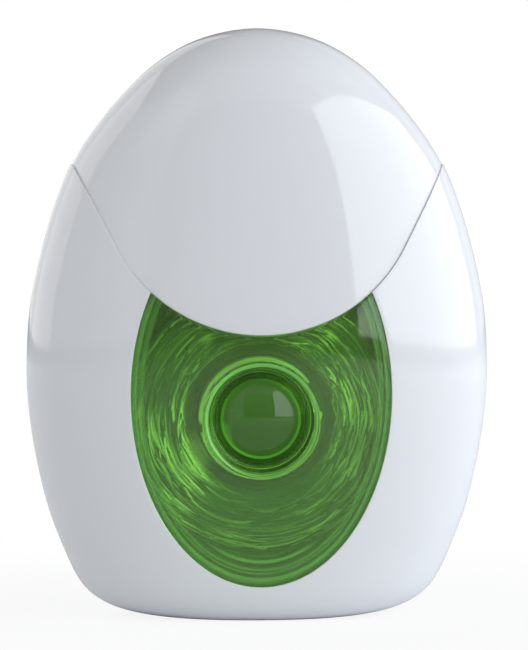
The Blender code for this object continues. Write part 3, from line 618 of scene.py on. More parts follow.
def depth_share(width, run):
    """The share of the greatest depth that goes with a share of the width, on the base or over it."""
    flat = BASE_SHARE**DEPTH_POWER * width / BASE_SHARE
    return np.where(run * LAST_POINT < BASE_EDGE, flat, np.maximum(width, 0.0) ** DEPTH_POWER)


class Egg:
    """The body's surface, taken in by inset. A run goes from the middle of the base, 0, to the crown, 1."""

    def __init__(self, inset=0.0, end_inset=None):
        self.inset = inset if end_inset is None else end_inset
        self.half_width = BODY_WIDTH / 2 - inset
        self.half_depth = BODY_DEPTH / 2 - inset
        self.height = BODY_HEIGHT - 2 * self.inset

    def at(self, run, turn):
        """Points at a run and a turn, which is 0 in front and grows to the right."""
        run, turn = np.broadcast_arrays(run, turn)
        place = run * LAST_POINT
        steps = np.arange(OUTLINE_POINTS)
        width = np.interp(place, steps, WIDTH_SHARES)
        height = np.interp(place, steps, HEIGHT_SHARES)
        across = np.sign(np.sin(turn)) * unit_section(np.sin(turn) ** 2)
        along = -np.sign(np.cos(turn)) * unit_section(np.cos(turn) ** 2)
        x = self.half_width * width * across
        y = self.half_depth * depth_share(width, run) * along
        return np.stack([x, y, self.inset + self.height * height], axis=-1)

    def height_share(self, level):
        """The share of the height at this level."""
        return (np.asarray(level) - self.inset) / self.height

    def width_at(self, level):
        """The share of the width at this height, over the base."""
        return np.interp(self.height_share(level), HEIGHT_SHARES[BASE_EDGE:], WIDTH_SHARES[BASE_EDGE:])

    def share_at(self, x, level):
        """The section's share at this height and distance across."""
        return section_share(np.clip(np.abs(x) / (self.half_width * self.width_at(level)), 0.0, 1.0))

    def depth(self, x, level):
        """How far the surface lies from the middle plane, in front or behind."""
        middle = self.half_depth * self.width_at(level) ** DEPTH_POWER
        return middle * unit_section(1 - self.share_at(x, level))

    def run_where(self, turn, is_over):
        """For each turn, the run at which is_over, of points, becomes true on the way up."""
        low, high = np.full_like(turn, LOWEST_RUN), np.full_like(turn, 1.0)
        for _ in range(BISECTIONS):
            middle = (low + high) / 2
            over = is_over(self.at(middle, turn))
            low, high = np.where(over, low, middle), np.where(over, middle, high)
        return high

    def turn_at(self, x, level):
        """The turn, in front, of a point at this height and distance across."""
        return np.sign(x) * np.arcsin(np.sqrt(np.clip(self.share_at(x, level), 0.0, 1.0)))

    def run_at(self, level):
        """The run at this height, over the base."""
        steps = np.arange(OUTLINE_POINTS - BASE_EDGE)
        over_base = np.interp(self.height_share(level), HEIGHT_SHARES[BASE_EDGE:], steps)
        return (BASE_EDGE + over_base) / LAST_POINT


SKIN = Egg()
LID_SKIN = Egg(LID_INSET, 0.0)


def edge_level(x, drop):
    """The height of the lid's front edge, lowered by drop."""
    radius = LID_ARC_RADIUS + drop
    centre = TONGUE_LEVEL + LID_ARC_RADIUS
    end = radius * math.sin(LID_ARC_HALF_ANGLE)
    on_arc = centre - np.sqrt(np.maximum(radius**2 - np.minimum(np.abs(x), end) ** 2, 0.0))
    flare = np.maximum(np.abs(x) - end, 0.0) * math.tan(LID_ARC_HALF_ANGLE)
    return np.minimum(on_arc + flare, LID_LEVEL - drop)


def even_turns(count, start, end):
    """Turns at about equal lengths round the widest section."""
    fine = np.linspace(start, end, TURN_SAMPLES)
    lengths = lengths_along(SKIN.at(np.full_like(fine, WIDEST / LAST_POINT), fine))
    return np.interp(np.linspace(0.0, lengths[-1], count), lengths, fine)


def whole_turn(count):
    """Turns all the way round."""
    return even_turns(count + 1, -math.pi, math.pi)[:-1]


def with_turns(turns, wanted):
    """The turns with these put in, in place of their nearest ones."""
    turns = turns.copy()
    for turn in wanted:
        turns[np.argmin(np.abs(turns - turn))] = turn
    return np.sort(turns)


# Meshes


def placed(name, data):
    """A new object in the scene."""
    obj = bpy.data.objects.new(name, data)
    bpy.context.scene.collection.objects.link(obj)
    return obj


def coated(obj, material):
    """The object in this material alone."""
    obj.data.materials.clear()
    obj.data.materials.append(material)
    return obj


def mesh_of(name, bm):
    """A mesh with what a bmesh holds, which is then freed."""
    mesh = bpy.data.meshes.new(name)
    bm.to_mesh(mesh)
    bm.free()
    return mesh


def opened(mesh):
    """A bmesh with what a mesh holds."""
    bm = bmesh.new()
    bm.from_mesh(mesh)
    return bm


def grid_mesh(points, cyclic=False, without=None):
    """A bmesh of a grid of points, with its doubles merged. without marks the faces to leave out."""
    rows, columns = points.shape[:2]
    bm = bmesh.new()
    verts = [[bm.verts.new(point) for point in row] for row in points.tolist()]
    for row in range(rows - 1):
        for column in range(columns if cyclic else columns - 1):
            if without is not None and without[row, column]:
                continue
            after = (column + 1) % columns
            lower, upper = verts[row], verts[row + 1]
            bm.faces.new((lower[column], lower[after], upper[after], upper[column]))
    loose = [vert for vert in bm.verts if not vert.link_faces]
    bmesh.ops.delete(bm, geom=loose, context="VERTS")
    bmesh.ops.remove_doubles(bm, verts=bm.verts, dist=GRID_MERGE)
    bmesh.ops.recalc_face_normals(bm, faces=bm.faces)
    if bm.calc_volume(signed=True) < 0:
        bmesh.ops.reverse_faces(bm, faces=bm.faces)
    return bm


def point_out(bm, centre):
    """Turns an open sheet's faces away from a point inside it."""
    facing = sum(
        (face.calc_center_median() - centre).dot(face.normal) * face.calc_area() for face in bm.faces
    )
    if facing < 0:
        bmesh.ops.reverse_faces(bm, faces=bm.faces)


def rod(start, end, radius, bore=0.0):
    """A closed round rod or tube between two points, with rounded rims."""
    start, end = Vector(start), Vector(end)
    run = end - start
    rim = [
        (radius - ROD_ROUND + ROD_ROUND * math.sin(a), ROD_ROUND * (1 - math.cos(a)))
        for a in [0.0, *arc(math.pi / 2, ROD_STEPS)]
    ]
    profile = [(bore, 0.0), *rim, *[(r, run.length - h) for r, h in reversed(rim)], (bore, run.length)]
    if bore:
        profile.append((bore, 0.0))
    turns = np.linspace(0.0, 2 * math.pi, ROD_COLUMNS, endpoint=False)
    points = np.array([[(r * math.cos(t), r * math.sin(t), h) for t in turns] for r, h in profile])
    bm = grid_mesh(points, cyclic=True)
    bm.transform(Matrix.Translation(start) @ run.to_track_quat("Z", "Y").to_matrix().to_4x4())
    return bm


def add_parts(obj, *parts):
    """Adds closed bmeshes to an object's mesh."""
    bm = opened(obj.data)
    for part in parts:
        mesh = mesh_of("part", part)
        bm.from_mesh(mesh)
        bpy.data.meshes.remove(mesh)
    bm.to_mesh(obj.data)
    bm.free()


def plain_mesh(obj):
    """What an object's curve or modifiers make, as a mesh of its own."""
    bpy.context.view_layer.update()
    graph = bpy.context.evaluated_depsgraph_get()
    return bpy.data.meshes.new_from_object(obj.evaluated_get(graph))


def applied(obj):
    """Applies an object's modifiers to its mesh."""
    mesh = plain_mesh(obj)
    old = obj.data
    obj.modifiers.clear()
    obj.data = mesh
    bpy.data.meshes.remove(old)
    return obj


def bevelled(obj, width, segments, angle):
    """Rounds the edges that are sharper than an angle, and applies the object's modifiers."""
    bevel = obj.modifiers.new("edges", "BEVEL")
    bevel.width = width
    bevel.segments = segments
    bevel.limit_method = "ANGLE"
    bevel.angle_limit = angle
    bevel.use_clamp_overlap = True
    return applied(obj)


def shelled(name, bm, material):
    """A sheet made a wall, inwards from its surface, with rounded rims."""
    obj = coated(placed(name, mesh_of(name, bm)), material)
    wall = obj.modifiers.new("wall", "SOLIDIFY")
    wall.thickness = SHELL_WALL
    wall.offset = -1.0
    return bevelled(obj, EDGE_ROUND, 3, RIM_ANGLE)


def finished(obj, body, slot, *nodes):
    """A finished piece: what it rides on, its slot, which is not used, and the nodes that it stands for,
    which it hides.
    """
    obj.data.shade_smooth()
    obj.data.set_sharp_from_angle(angle=SHARP_ANGLE)
    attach(obj, body)
    if nodes:
        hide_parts(*nodes)


# The shells


def knuckle(start, end):
    """A hinge knuckle between two places across."""
    _, y, z = HINGE_AXIS
    return rod((start, y, z), (end, y, z), KNUCKLE_RADIUS, KNUCKLE_BORE)


def snap_bar(inset, rise):
    """A bar across the body taken in by inset, this far over the tongue's tip."""
    level = TONGUE_LEVEL + rise
    y = -float(Egg(inset).depth(0.0, level))
    reach = SNAP_BAR_LENGTH / 2
    return rod((-reach, y, level), (reach, y, level), SNAP_BAR_RADIUS)


def rear_turn(x, level):
    """The turn, behind, of a point at this height and distance across."""
    return math.pi - float(SKIN.turn_at(x, level))


def make_lid(material):
    """The lid, from its crown down to the edge, with notches for the shell's knuckles."""
    half = LID_KNUCKLE_LENGTH / 2
    notch_ends = (half, half + SHELL_KNUCKLE_LENGTH + 2 * PARTING_GAP)
    notch_top = HINGE_AXIS.z + KNUCKLE_RADIUS + PARTING_GAP
    right = [rear_turn(x, LID_LEVEL) for x in notch_ends]
    turns = with_turns(whole_turn(LID_COLUMNS), [*right, *[-turn for turn in right]])
    behind = np.abs(turns) > math.pi / 2

    def over_edge(points):
        front = points[..., 2] > edge_level(points[..., 0], 0.0)
        return np.where(behind, points[..., 2] > LID_LEVEL, front)

    rim = LID_SKIN.run_where(turns, over_edge)
    notch_run = float(LID_SKIN.run_at(notch_top) - LID_SKIN.run_at(LID_LEVEL))
    upper = np.linspace(0.0, 1.0, LID_ROWS)[:, None]
    lower = np.linspace(0.0, 1.0, NOTCH_ROWS + 1)[1:, None]
    runs = np.vstack([1 - upper * (1 - rim - notch_run), rim + notch_run * (1 - lower)])
    without = np.zeros((len(runs), len(turns)), bool)
    middle = (np.abs(turns) + np.abs(np.roll(turns, -1))) / 2
    without[-NOTCH_ROWS - 1 :] = (middle < right[0]) & (middle > right[1])
    bm = grid_mesh(LID_SKIN.at(runs, turns[None, :]), cyclic=True, without=without)
    point_out(bm, Vector((0.0, 0.0, TONGUE_LEVEL)))
    lid = shelled("lid_shell", bm, material)
    add_parts(lid, knuckle(-half, half), snap_bar(SHELL_WALL, SNAP_BAR_RISE))
    finished(lid, "lid", "shell_white", "lid")


def window_ellipse(margin):
    """The window's half width, half height and middle height, taken in by margin."""
    half_height = (WINDOW_TOP - WINDOW_SILL) / 2
    return WINDOW_HALF_WIDTH - margin, half_height - margin, WINDOW_SILL + half_height


def on_ellipse(angle, margin):
    """Points on the window's ellipse, taken in by margin."""
    half_width, half_height, middle = window_ellipse(margin)
    return np.stack([half_width * np.cos(angle), middle + half_height * np.sin(angle)], axis=-1)


def corner_angle(margin, drop):
    """Where on the window's ellipse, on the right, the lid's lowered edge crosses it."""
    low, high = 0.0, math.pi / 2
    for _ in range(BISECTIONS):
        middle = (low + high) / 2
        x, z = on_ellipse(middle, margin)
        low, high = (low, middle) if z > edge_level(x, drop) else (middle, high)
    return low


def window_sides(margin, drop, count):
    """The window's edge below the lid, from the left corner round the bottom to the right corner."""
    corner = corner_angle(margin, drop)
    fine = on_ellipse(np.linspace(math.pi - corner, 2 * math.pi + corner, EDGE_SAMPLES), margin)
    return evenly_spaced(fine, count)


def window_top(margin, drop, count):
    """The window's edge along the lid, from the right corner to the left one."""
    end = on_ellipse(corner_angle(margin, drop), margin)[0]
    x = np.linspace(end, -end, EDGE_SAMPLES)
    return evenly_spaced(np.stack([x, edge_level(x, drop)], axis=-1), count)


def parted(points, side):
    """Half of the body, drawn back from the seam on this side of it."""
    gap = SEAM_GAP / 2
    points[..., 1] = side * gap + points[..., 1] * (1 - gap / (BODY_DEPTH / 2))
    return points


def make_front_shell(material):
    """The front shell: a strip round the window, from the lid's edge on one side to the other's."""
    inner = window_sides(0.0, SEAM_GAP, FRONT_COLUMNS)
    top_run = float(SKIN.run_at(LID_LEVEL - SEAM_GAP))
    quarter = math.pi / 2
    share = np.linspace(0.0, 1.0, FRONT_COLUMNS)
    bends = [0, FRONT_SIDE_SHARE, 1 - FRONT_SIDE_SHARE, 1]
    outer_turn = np.interp(share, bends, [-quarter, -quarter, quarter, quarter])
    outer_run = np.interp(share, bends, [top_run, 0.0, 0.0, top_run])
    across = np.linspace(0.0, 1.0, FRONT_ROWS)[:, None]
    turns = (1 - across) * SKIN.turn_at(inner[:, 0], inner[:, 1]) + across * outer_turn
    runs = (1 - across) * SKIN.run_at(inner[:, 1]) + across * outer_run
    widest = BODY_WIDTH / 2 * float(SKIN.width_at(LID_LEVEL))
    ends_x = np.linspace(inner[-1, 0], widest, LID_EDGE_SAMPLES)
    ends_z = edge_level(ends_x, SEAM_GAP)
    edge = np.stack([SKIN.turn_at(ends_x, ends_z), SKIN.run_at(ends_z)], axis=-1)
    edge[-1] = (quarter, top_run)
    edge = evenly_spaced(edge, FRONT_ROWS)
    pull = edge - np.linspace(edge[0], edge[-1], FRONT_ROWS)
    near_end = [np.clip(1 - place / FRONT_SIDE_SHARE, 0.0, 1.0) ** 2 for place in (share, 1 - share)]
    fade = near_end[0] + near_end[1]
    turns += np.sign(outer_turn) * fade * pull[:, :1]
    runs += fade * pull[:, 1:]
    bm = grid_mesh(parted(SKIN.at(runs, turns), -1))
    point_out(bm, Vector((0.0, BODY_DEPTH / 2, TONGUE_LEVEL)))
    shell = shelled("front_shell_skin", bm, material)
    finished(shell, "case", "shell_white", "front_shell")


def make_rear_shell(material):
    """The rear shell, with a notch for the lid's knuckle between its own two."""
    half = LID_KNUCKLE_LENGTH / 2 + PARTING_GAP
    notch_bottom = HINGE_AXIS.z - KNUCKLE_RADIUS - PARTING_GAP
    rim_level = LID_LEVEL - SEAM_GAP
    right = rear_turn(half, rim_level)
    turns = even_turns(REAR_COLUMNS, math.pi / 2, 3 * math.pi / 2)
    turns = with_turns(turns, [right, 2 * math.pi - right])
    notch_run, rim_run = float(SKIN.run_at(notch_bottom)), float(SKIN.run_at(rim_level))
    upper = np.linspace(notch_run, rim_run, NOTCH_ROWS + 1)[1:]
    runs = np.concatenate([np.linspace(0.0, notch_run, REAR_ROWS), upper])
    middle = (turns[1:] + turns[:-1]) / 2
    without = np.zeros((len(runs), len(turns) - 1), bool)
    without[-NOTCH_ROWS - 1 :] = np.abs(middle - math.pi) < math.pi - right
    bm = grid_mesh(parted(SKIN.at(runs[:, None], turns[None, :]), 1), without=without)
    point_out(bm, Vector((0.0, -BODY_DEPTH / 2, TONGUE_LEVEL)))
    shell = shelled("rear_shell_skin", bm, material)
    end = half + SHELL_KNUCKLE_LENGTH
    add_parts(shell, knuckle(-half, -end), knuckle(half, end))
    finished(shell, "case", "shell_white", "rear_shell")


# The green cassette


def window_loop(margin, drop):
    """The window's whole edge, counter-clockwise from its right corner, with one column for each point."""
    top = window_top(margin, drop, TOP_COLUMNS + 1)[:-1]
    sides = window_sides(margin, drop, SIDE_COLUMNS + 1)[:-1]
    return np.vstack([top, sides])


def loop_angles():
    """The columns' angles round the hub, between those of the window's edge and even ones."""
    loop = window_loop(SEAM_GAP, SEAM_GAP)
    angles = np.unwrap(np.arctan2(loop[:, 1] - HUB_LEVEL, loop[:, 0]))
    even = angles[0] + np.linspace(0.0, 2 * math.pi, len(loop), endpoint=False)
    return HUB_ANGLE_SHARE * angles + (1 - HUB_ANGLE_SHARE) * even


HUB_ANGLES = loop_angles()


def ring(radius, forward):
    """A ring round the hub's axis, this far in front of the middle plane."""
    depth = np.full_like(HUB_ANGLES, -forward)
    return np.stack([radius * np.cos(HUB_ANGLES), depth, HUB_LEVEL + radius * np.sin(HUB_ANGLES)], axis=-1)


def on_skin(loop, inset):
    """A flat loop laid on the body's skin, and set back by inset."""
    depth = SKIN.depth(loop[:, 0], loop[:, 1]) - inset
    return np.stack([loop[:, 0], -depth, loop[:, 1]], axis=-1)


def skin_rows(first, second, steps, inset):
    """Loops on the skin from one flat loop to another, without the first."""
    return [on_skin(first + (second - first) * step / steps, inset) for step in range(1, steps + 1)]


def hub_well(face):
    """The hub's front: its dome, the moat round it, and the well's wall up to the rounded rim."""
    floor = face - HUB_DEPTH
    loops = []
    lean = math.asin(HUB_DOME_RADIUS / HUB_DOME_CURVE)
    for a in [0.0, *arc(lean, DOME_STEPS)]:
        rise = HUB_DOME_CURVE * (math.cos(a) - math.cos(lean))
        loops.append(ring(HUB_DOME_CURVE * math.sin(a) + POINT_RADIUS, floor + rise))
    moat = (HUB_FLOOR_RADIUS - HUB_DOME_RADIUS) / 2
    for a in arc(math.pi, HUB_STEPS):
        loops.append(ring(HUB_DOME_RADIUS + moat * (1 - math.cos(a)), floor - moat * math.sin(a)))
    for share in arc(1.0, HUB_STEPS):
        radius = HUB_FLOOR_RADIUS + share * (HUB_RIM_RADIUS - HUB_FLOOR_RADIUS)
        loops.append(ring(radius, floor + share * (HUB_DEPTH - HUB_RIM_ROUND)))
    for a in arc(math.pi / 2, HUB_STEPS):
        radius = HUB_RIM_RADIUS + HUB_RIM_ROUND * (1 - math.cos(a))
        loops.append(ring(radius, face - HUB_RIM_ROUND * (1 - math.sin(a))))
    return loops


def hub_axle(face):
    """The hub's back: the fillet under the pane, and the hollow axle that the bobbin turns on."""
    pane_back = face - PANE_WALL
    loops = []
    for a in arc(math.pi / 2, HUB_STEPS):
        radius = HUB_RIM_RADIUS + HUB_WALL + HUB_ROOT_ROUND * (1 - math.sin(a))
        loops.append(ring(radius, pane_back - HUB_ROOT_ROUND * (1 - math.cos(a))))
    bore = AXLE_RADIUS - AXLE_WALL
    under = face - HUB_DEPTH - HUB_WALL
    profile = (
        (AXLE_RADIUS + AXLE_EDGE, under),
        (AXLE_RADIUS, under - AXLE_ROOT),
        (AXLE_RADIUS, AXLE_EDGE - AXLE_BACK),
        (AXLE_RADIUS - AXLE_EDGE, -AXLE_BACK),
        (bore + BORE_EDGE, -AXLE_BACK),
        (bore, BORE_EDGE - AXLE_BACK),
        (bore, under - AXLE_ROOT),
        (bore - AXLE_ROOT, under),
        (POINT_RADIUS, under),
    )
    return [*loops, *[ring(radius, forward) for radius, forward in profile]]


def make_window_block():
    """The pane with its side wall and flange, and the hub with its axle, as one closed turned form."""
    face = float(SKIN.depth(0.0, HUB_LEVEL - HUB_RIM_RADIUS))
    loops = hub_well(face)
    start = ring(HUB_RIM_RADIUS + HUB_RIM_ROUND + HUB_APRON, 0.0)[:, [0, 2]]
    edge = window_loop(SEAM_GAP + PANE_ROUND, SEAM_GAP + PANE_ROUND)
    loops += [on_skin(start, 0.0), *skin_rows(start, edge, PANE_ROWS, 0.0)]
    for a in arc(math.pi / 2, PANE_ROUND_STEPS):
        margin = SEAM_GAP + PANE_ROUND * (1 - math.sin(a))
        loops.append(on_skin(window_loop(margin, margin), PANE_ROUND * (1 - math.cos(a))))
    side = window_loop(SEAM_GAP, SEAM_GAP)
    flange = window_loop(-FLANGE_WIDTH, SEAM_GAP - PANE_TUCK)
    flange_front = SHELL_WALL + SEAT_GAP
    loops += [on_skin(side, flange_front), *skin_rows(side, flange, FLANGE_ROWS, flange_front)]
    recess = window_loop(-PANE_SIDE_TUCK, SEAM_GAP - PANE_TUCK / 2)
    loops += [on_skin(flange, FLANGE_BACK), *skin_rows(flange, recess, RECESS_ROWS, FLANGE_BACK)]
    for a in arc(math.pi / 2, RECESS_STEPS):
        margin = -PANE_SIDE_TUCK + (PANE_SIDE_TUCK + PANE_SIDE_WEB) * (1 - math.cos(a))
        drop = SEAM_GAP - PANE_TUCK / 2 + (PANE_TUCK / 2 + PANE_TOP_WEB) * (1 - math.cos(a))
        last = window_loop(margin, drop)
        loops.append(on_skin(last, FLANGE_BACK - (FLANGE_BACK - PANE_WALL) * math.sin(a)))
    inner = ring(HUB_RIM_RADIUS + HUB_WALL + HUB_ROOT_ROUND, 0.0)[:, [0, 2]]
    loops += skin_rows(last, inner, PANE_BACK_ROWS, PANE_WALL)
    loops += hub_axle(face)
    return grid_mesh(np.array(loops), cyclic=True)


def helper(name, bm):
    """An object to cut or join with."""
    return placed(name, mesh_of(name, bm))


def egg_solid(name, inset):
    """A closed egg, taken in by inset."""
    runs = np.linspace(0.0, 1.0, EGG_ROWS)[:, None]
    return helper(name, grid_mesh(Egg(inset).at(runs, whole_turn(EGG_COLUMNS)[None, :]), cyclic=True))


def prism(name, outline, near, far):
    """A flat outline of x and z, from y near to y far."""
    bm = bmesh.new()
    front = [bm.verts.new((x, near, z)) for x, z in outline]
    back = [bm.verts.new((x, far, z)) for x, z in outline]
    bm.faces.new(front)
    bm.faces.new(reversed(back))
    for n in range(len(front)):
        after = (n + 1) % len(front)
        bm.faces.new((front[n], back[n], back[after], front[after]))
    bmesh.ops.recalc_face_normals(bm, faces=bm.faces)
    return helper(name, bm)


def carved(obj, operation, other):
    """The object joined to, cut by or kept inside the other, which is then removed."""
    modifier = obj.modifiers.new(other.name, "BOOLEAN")
    modifier.operation = operation
    modifier.solver = "MANIFOLD"
    modifier.object = other
    applied(obj)
    bpy.data.objects.remove(other)
    return obj


def keyhole(name, taken_in, near, far):
    """The cassette's front outline, a drum with a neck over it, between two depths."""
    radius = DRUM_RADIUS - taken_in
    shelf = SHELF_LEVEL + taken_in
    side = BODY_WIDTH / 2
    shoulder = math.asin((shelf - HUB_LEVEL) / radius)
    turns = np.linspace(math.pi - shoulder, 2 * math.pi + shoulder, DRUM_POINTS)
    drum = [(radius * math.cos(a), HUB_LEVEL + radius * math.sin(a)) for a in turns]
    end = shelf + (side - drum[-1][0]) * math.tan(SHELF_SLOPE)
    top = NECK_TOP - taken_in
    return prism(name, [(-side, top), (-side, end), *drum, (side, end), (side, top)], near, far)


def cassette_form(name, wall, near, far):
    """The cassette's front half between two depths, taken in by a wall."""
    egg = egg_solid(name, CASSETTE_INSET + wall)
    return carved(egg, "INTERSECT", keyhole(name + "_outline", wall, near, far))


def make_window_cover(material):
    """The window, its hub and the front of the cassette, in one clear moulding."""
    near = -(BODY_DEPTH / 2 + OVERRUN)
    cover = cassette_form("window_and_hub", 0.0, near, CASSETTE_SEAM)
    carved(cover, "DIFFERENCE", cassette_form("hollow", CASSETTE_WALL, near, CASSETTE_SEAM + OVERRUN))
    outline = window_loop(-HOLE_SIDE_TUCK, SEAM_GAP - HOLE_TOP_TUCK)
    carved(cover, "DIFFERENCE", prism("window_hole", outline.tolist(), near, CASSETTE_SEAM))
    carved(cover, "UNION", helper("window_block", make_window_block()))
    bar = snap_bar(CASSETTE_INSET, SNAP_BAR_RISE + SNAP_BAR_SPACING)
    carved(cover, "UNION", helper("cassette_bar", bar))
    finished(coated(cover, material), "case", "tinted_green", "window_cover")


# The floss


class Shape(Tree):
    """A Geometry Nodes tree with named inputs."""

    def __init__(self, name, inputs):
        self.group = bpy.data.node_groups.new(name, "GeometryNodeTree")
        self.places = {}
        for label, (kind, value) in inputs.items():
            socket = self.group.interface.new_socket(label, in_out="INPUT", socket_type=kind)
            self.places[label] = (socket.identifier, value)
        self.group.interface.new_socket("Geometry", in_out="OUTPUT", socket_type="NodeSocketGeometry")
        super().__init__(self.group)
        self.entry = self.tree.nodes.new("NodeGroupInput")

    def given(self, label):
        return Socket(self, self.entry.outputs[label])

    def random(self, seed, low, high):
        kind = {"data_type": "FLOAT"}
        return self.node("FunctionNodeRandomValue", kind, {2: low, 3: high, 8: seed}, output=1)

    def keep(self, geometry, name, value):
        settings = {"data_type": "FLOAT", "domain": "POINT"}
        named = {"Geometry": geometry, "Name": name, "Value": value}
        return self.node("GeometryNodeStoreNamedAttribute", settings, named)

    def kept(self, name):
        return self.node("GeometryNodeInputNamedAttribute", {"data_type": "FLOAT"}, {"Name": name})

    def tube(self, curve, radius, sides):
        """A curve made a tube with closed ends, in the given material."""
        named = {"Resolution": sides, "Radius": radius}
        profile = self.node("GeometryNodeCurvePrimitiveCircle", {}, named)
        named = {"Curve": curve, "Profile Curve": profile, "Fill Caps": True}
        mesh = self.node("GeometryNodeCurveToMesh", {}, named)
        named = {"Geometry": mesh, "Material": self.given("Material")}
        return self.node("GeometryNodeSetMaterial", {}, named)

    def built(self, name, geometry):
        """Runs the tree once, and keeps what it makes as a plain mesh."""
        self.finish("NodeGroupOutput", 0, geometry)
        obj = placed(name, bpy.data.meshes.new(name))
        modifier = obj.modifiers.new(name, "NODES")
        modifier.node_group = self.group
        for place, value in self.places.values():
            modifier[place] = value
        return applied(obj)


def loose_strands(name, material, count, seed, face, radius):
    """Many loose arcs of floss round the hub, which lie on one another at one end of the winding."""
    number, whole, thing = "NodeSocketFloat", "NodeSocketInt", "NodeSocketMaterial"
    inputs = {
        "Count": (whole, count),
        "Seed": (whole, seed),
        "Inner radius": (number, WOUND_INNER),
        "Outer radius": (number, WOUND_OUTER),
        "Face": (number, face),
        "Strand radius": (number, radius),
        "Material": (thing, material),
    }
    shape = Shape(name, inputs)
    seed_in, inner, outer = [shape.given(label) for label in ("Seed", "Inner radius", "Outer radius")]
    points = shape.node("GeometryNodePoints", {}, {"Count": shape.given("Count")})
    share = shape.random(seed_in, 0.0, 1.0)
    points = shape.keep(points, "reach", inner + (outer - inner) * share)
    drawn = {
        "start": (0.0, 2 * math.pi),
        "span": LOOSE_SPAN,
        "drift": (-LOOSE_DRIFT, LOOSE_DRIFT),
        "lift": (0.0, LOOSE_LIFT),
        # Each strand's random lightness, whose dark end is painted shade.
        "tone_and_shade": (0.0, 1.0),
    }
    for step, (label, (low, high)) in enumerate(drawn.items(), 1):
        points = shape.keep(points, label, shape.random(seed_in + step, low, high))
    line = shape.node("GeometryNodeCurvePrimitiveLine")
    line = shape.node("GeometryNodeResampleCurve", {}, {"Curve": line, "Count": LOOSE_POINTS})
    arcs = shape.node("GeometryNodeInstanceOnPoints", {}, {"Points": points, "Instance": line})
    arcs = shape.node("GeometryNodeRealizeInstances", {}, {"Geometry": arcs})
    along = shape.node("GeometryNodeSplineParameter")
    middle = along * 2.0 - 1.0
    angle = shape.kept("start") + shape.kept("span") * along
    far = shape.kept("reach") + shape.kept("drift") * middle * middle
    far = shape.node("ShaderNodeClamp", {}, [far, inner, outer])
    dip = shape.node("ShaderNodeMapRange", {}, [far, DIP_START, DIP_END, 0.0, INNER_DIP])
    forward = shape.given("Face") + (shape.kept("lift") - LOOSE_END_DROP * middle**6.0 - dip)
    place = [far * angle.math("COSINE"), -1.0 * forward, HUB_LEVEL + far * angle.math("SINE")]
    place = shape.node("ShaderNodeCombineXYZ", {}, place)
    arcs = shape.node("GeometryNodeSetPosition", {}, {"Geometry": arcs, "Position": place})
    return shape.built(name, shape.tube(arcs, shape.given("Strand radius"), LOOSE_SIDES))


def with_tone_and_shade(mesh, tone_and_shade):
    """The mesh with a lightness for its finish, whose low values are painted shade."""
    tones = mesh.attributes.new("tone_and_shade", "FLOAT", "POINT")
    tones.data.foreach_set("value", np.full(len(mesh.vertices), tone_and_shade, np.float32))
    return mesh


def strand_piece(name, lines, radius, tone_and_shade, material):
    """Lines of points made closed round strands, with a lightness for their finish, whose low values are
    painted shade.
    """
    curve = bpy.data.curves.new(name, "CURVE")
    curve.dimensions = "3D"
    curve.bevel_depth = radius
    curve.bevel_resolution = 1
    curve.use_fill_caps = True
    for line in lines:
        spline = curve.splines.new("POLY")
        spline.points.add(len(line) - 1)
        spline.points.foreach_set("co", np.column_stack([line, np.ones(len(line))]).ravel())
    obj = placed(name, curve)
    mesh = plain_mesh(obj)
    bpy.data.objects.remove(obj)
    bpy.data.curves.remove(curve)
    bm = opened(mesh)
    bmesh.ops.remove_doubles(bm, verts=bm.verts, dist=STRAND_MERGE)
    bm.to_mesh(mesh)
    bm.free()
    return coated(placed(name, with_tone_and_shade(mesh, tone_and_shade)), material)


def make_pack(material):
    """The winding's inner turns: a ring with a fine ridge for each turn, under the outer strands."""
    front, back = WOUND_FRONT - PACK_INSET, WOUND_BACK + PACK_INSET
    corners = np.array(
        [
            (CORE_RADIUS, back),
            (CORE_RADIUS, front - INNER_DIP),
            (DIP_END, front - INNER_DIP),
            (DIP_START, front),
            (PACK_OUTER, front),
            (PACK_OUTER, back),
            (CORE_RADIUS, back),
        ]
    )
    profile = evenly_spaced(corners, 2 * int(lengths_along(corners)[-1] / PACK_RIDGE))
    middle = profile.mean(axis=0)
    out = (profile - middle) / np.linalg.norm(profile - middle, axis=1)[:, None]
    lift = PACK_RIDGE_HEIGHT * (np.arange(len(profile)) % 2)
    lift[-1] = lift[0]
    profile += out * lift[:, None] - out * PACK_RIDGE_HEIGHT
    profile[:, 0] = np.maximum(profile[:, 0], CORE_RADIUS)
    turns = np.linspace(0.0, 2 * math.pi, PACK_COLUMNS, endpoint=False)
    radius, forward = profile[:, 0, None], profile[:, 1, None]
    points = [radius * np.cos(turns), -forward + 0 * turns, HUB_LEVEL + radius * np.sin(turns)]
    mesh = mesh_of("inner_turns", grid_mesh(np.stack(points, axis=-1), cyclic=True))
    pack = coated(placed("inner_turns", with_tone_and_shade(mesh, PACK_TONE_AND_SHADE)), material)
    finished(pack, "bobbin", "floss", "floss_pack")


def make_lead(material):
    """The strand from the winding up through the deck to the cutter: two plies, twisted together."""
    route = np.array([(x * MM, 0.0, z * MM) for x, z in LEAD_ROUTE])
    route = np.vstack([2 * route[0] - route[1], route, 2 * route[-1] - route[-2]])
    path = evenly_spaced(through_points(route, LEAD_STEPS), LEAD_POINTS)
    along = np.gradient(path, axis=0)
    along /= np.linalg.norm(along, axis=1)[:, None]
    side = np.array([0.0, 1.0, 0.0])
    up = np.cross(along, side)
    angle = np.linspace(0.0, 2 * math.pi * LEAD_TWISTS, len(path))[:, None]
    plies = []
    for phase in (0.0, math.pi):
        plies.append(path + PLY_OFFSET * (np.cos(angle + phase) * side + np.sin(angle + phase) * up))
    lead = strand_piece("lead_strand", plies, PLY_RADIUS, LEAD_TONE, material)
    finished(lead, "case", "floss", "floss_lead")


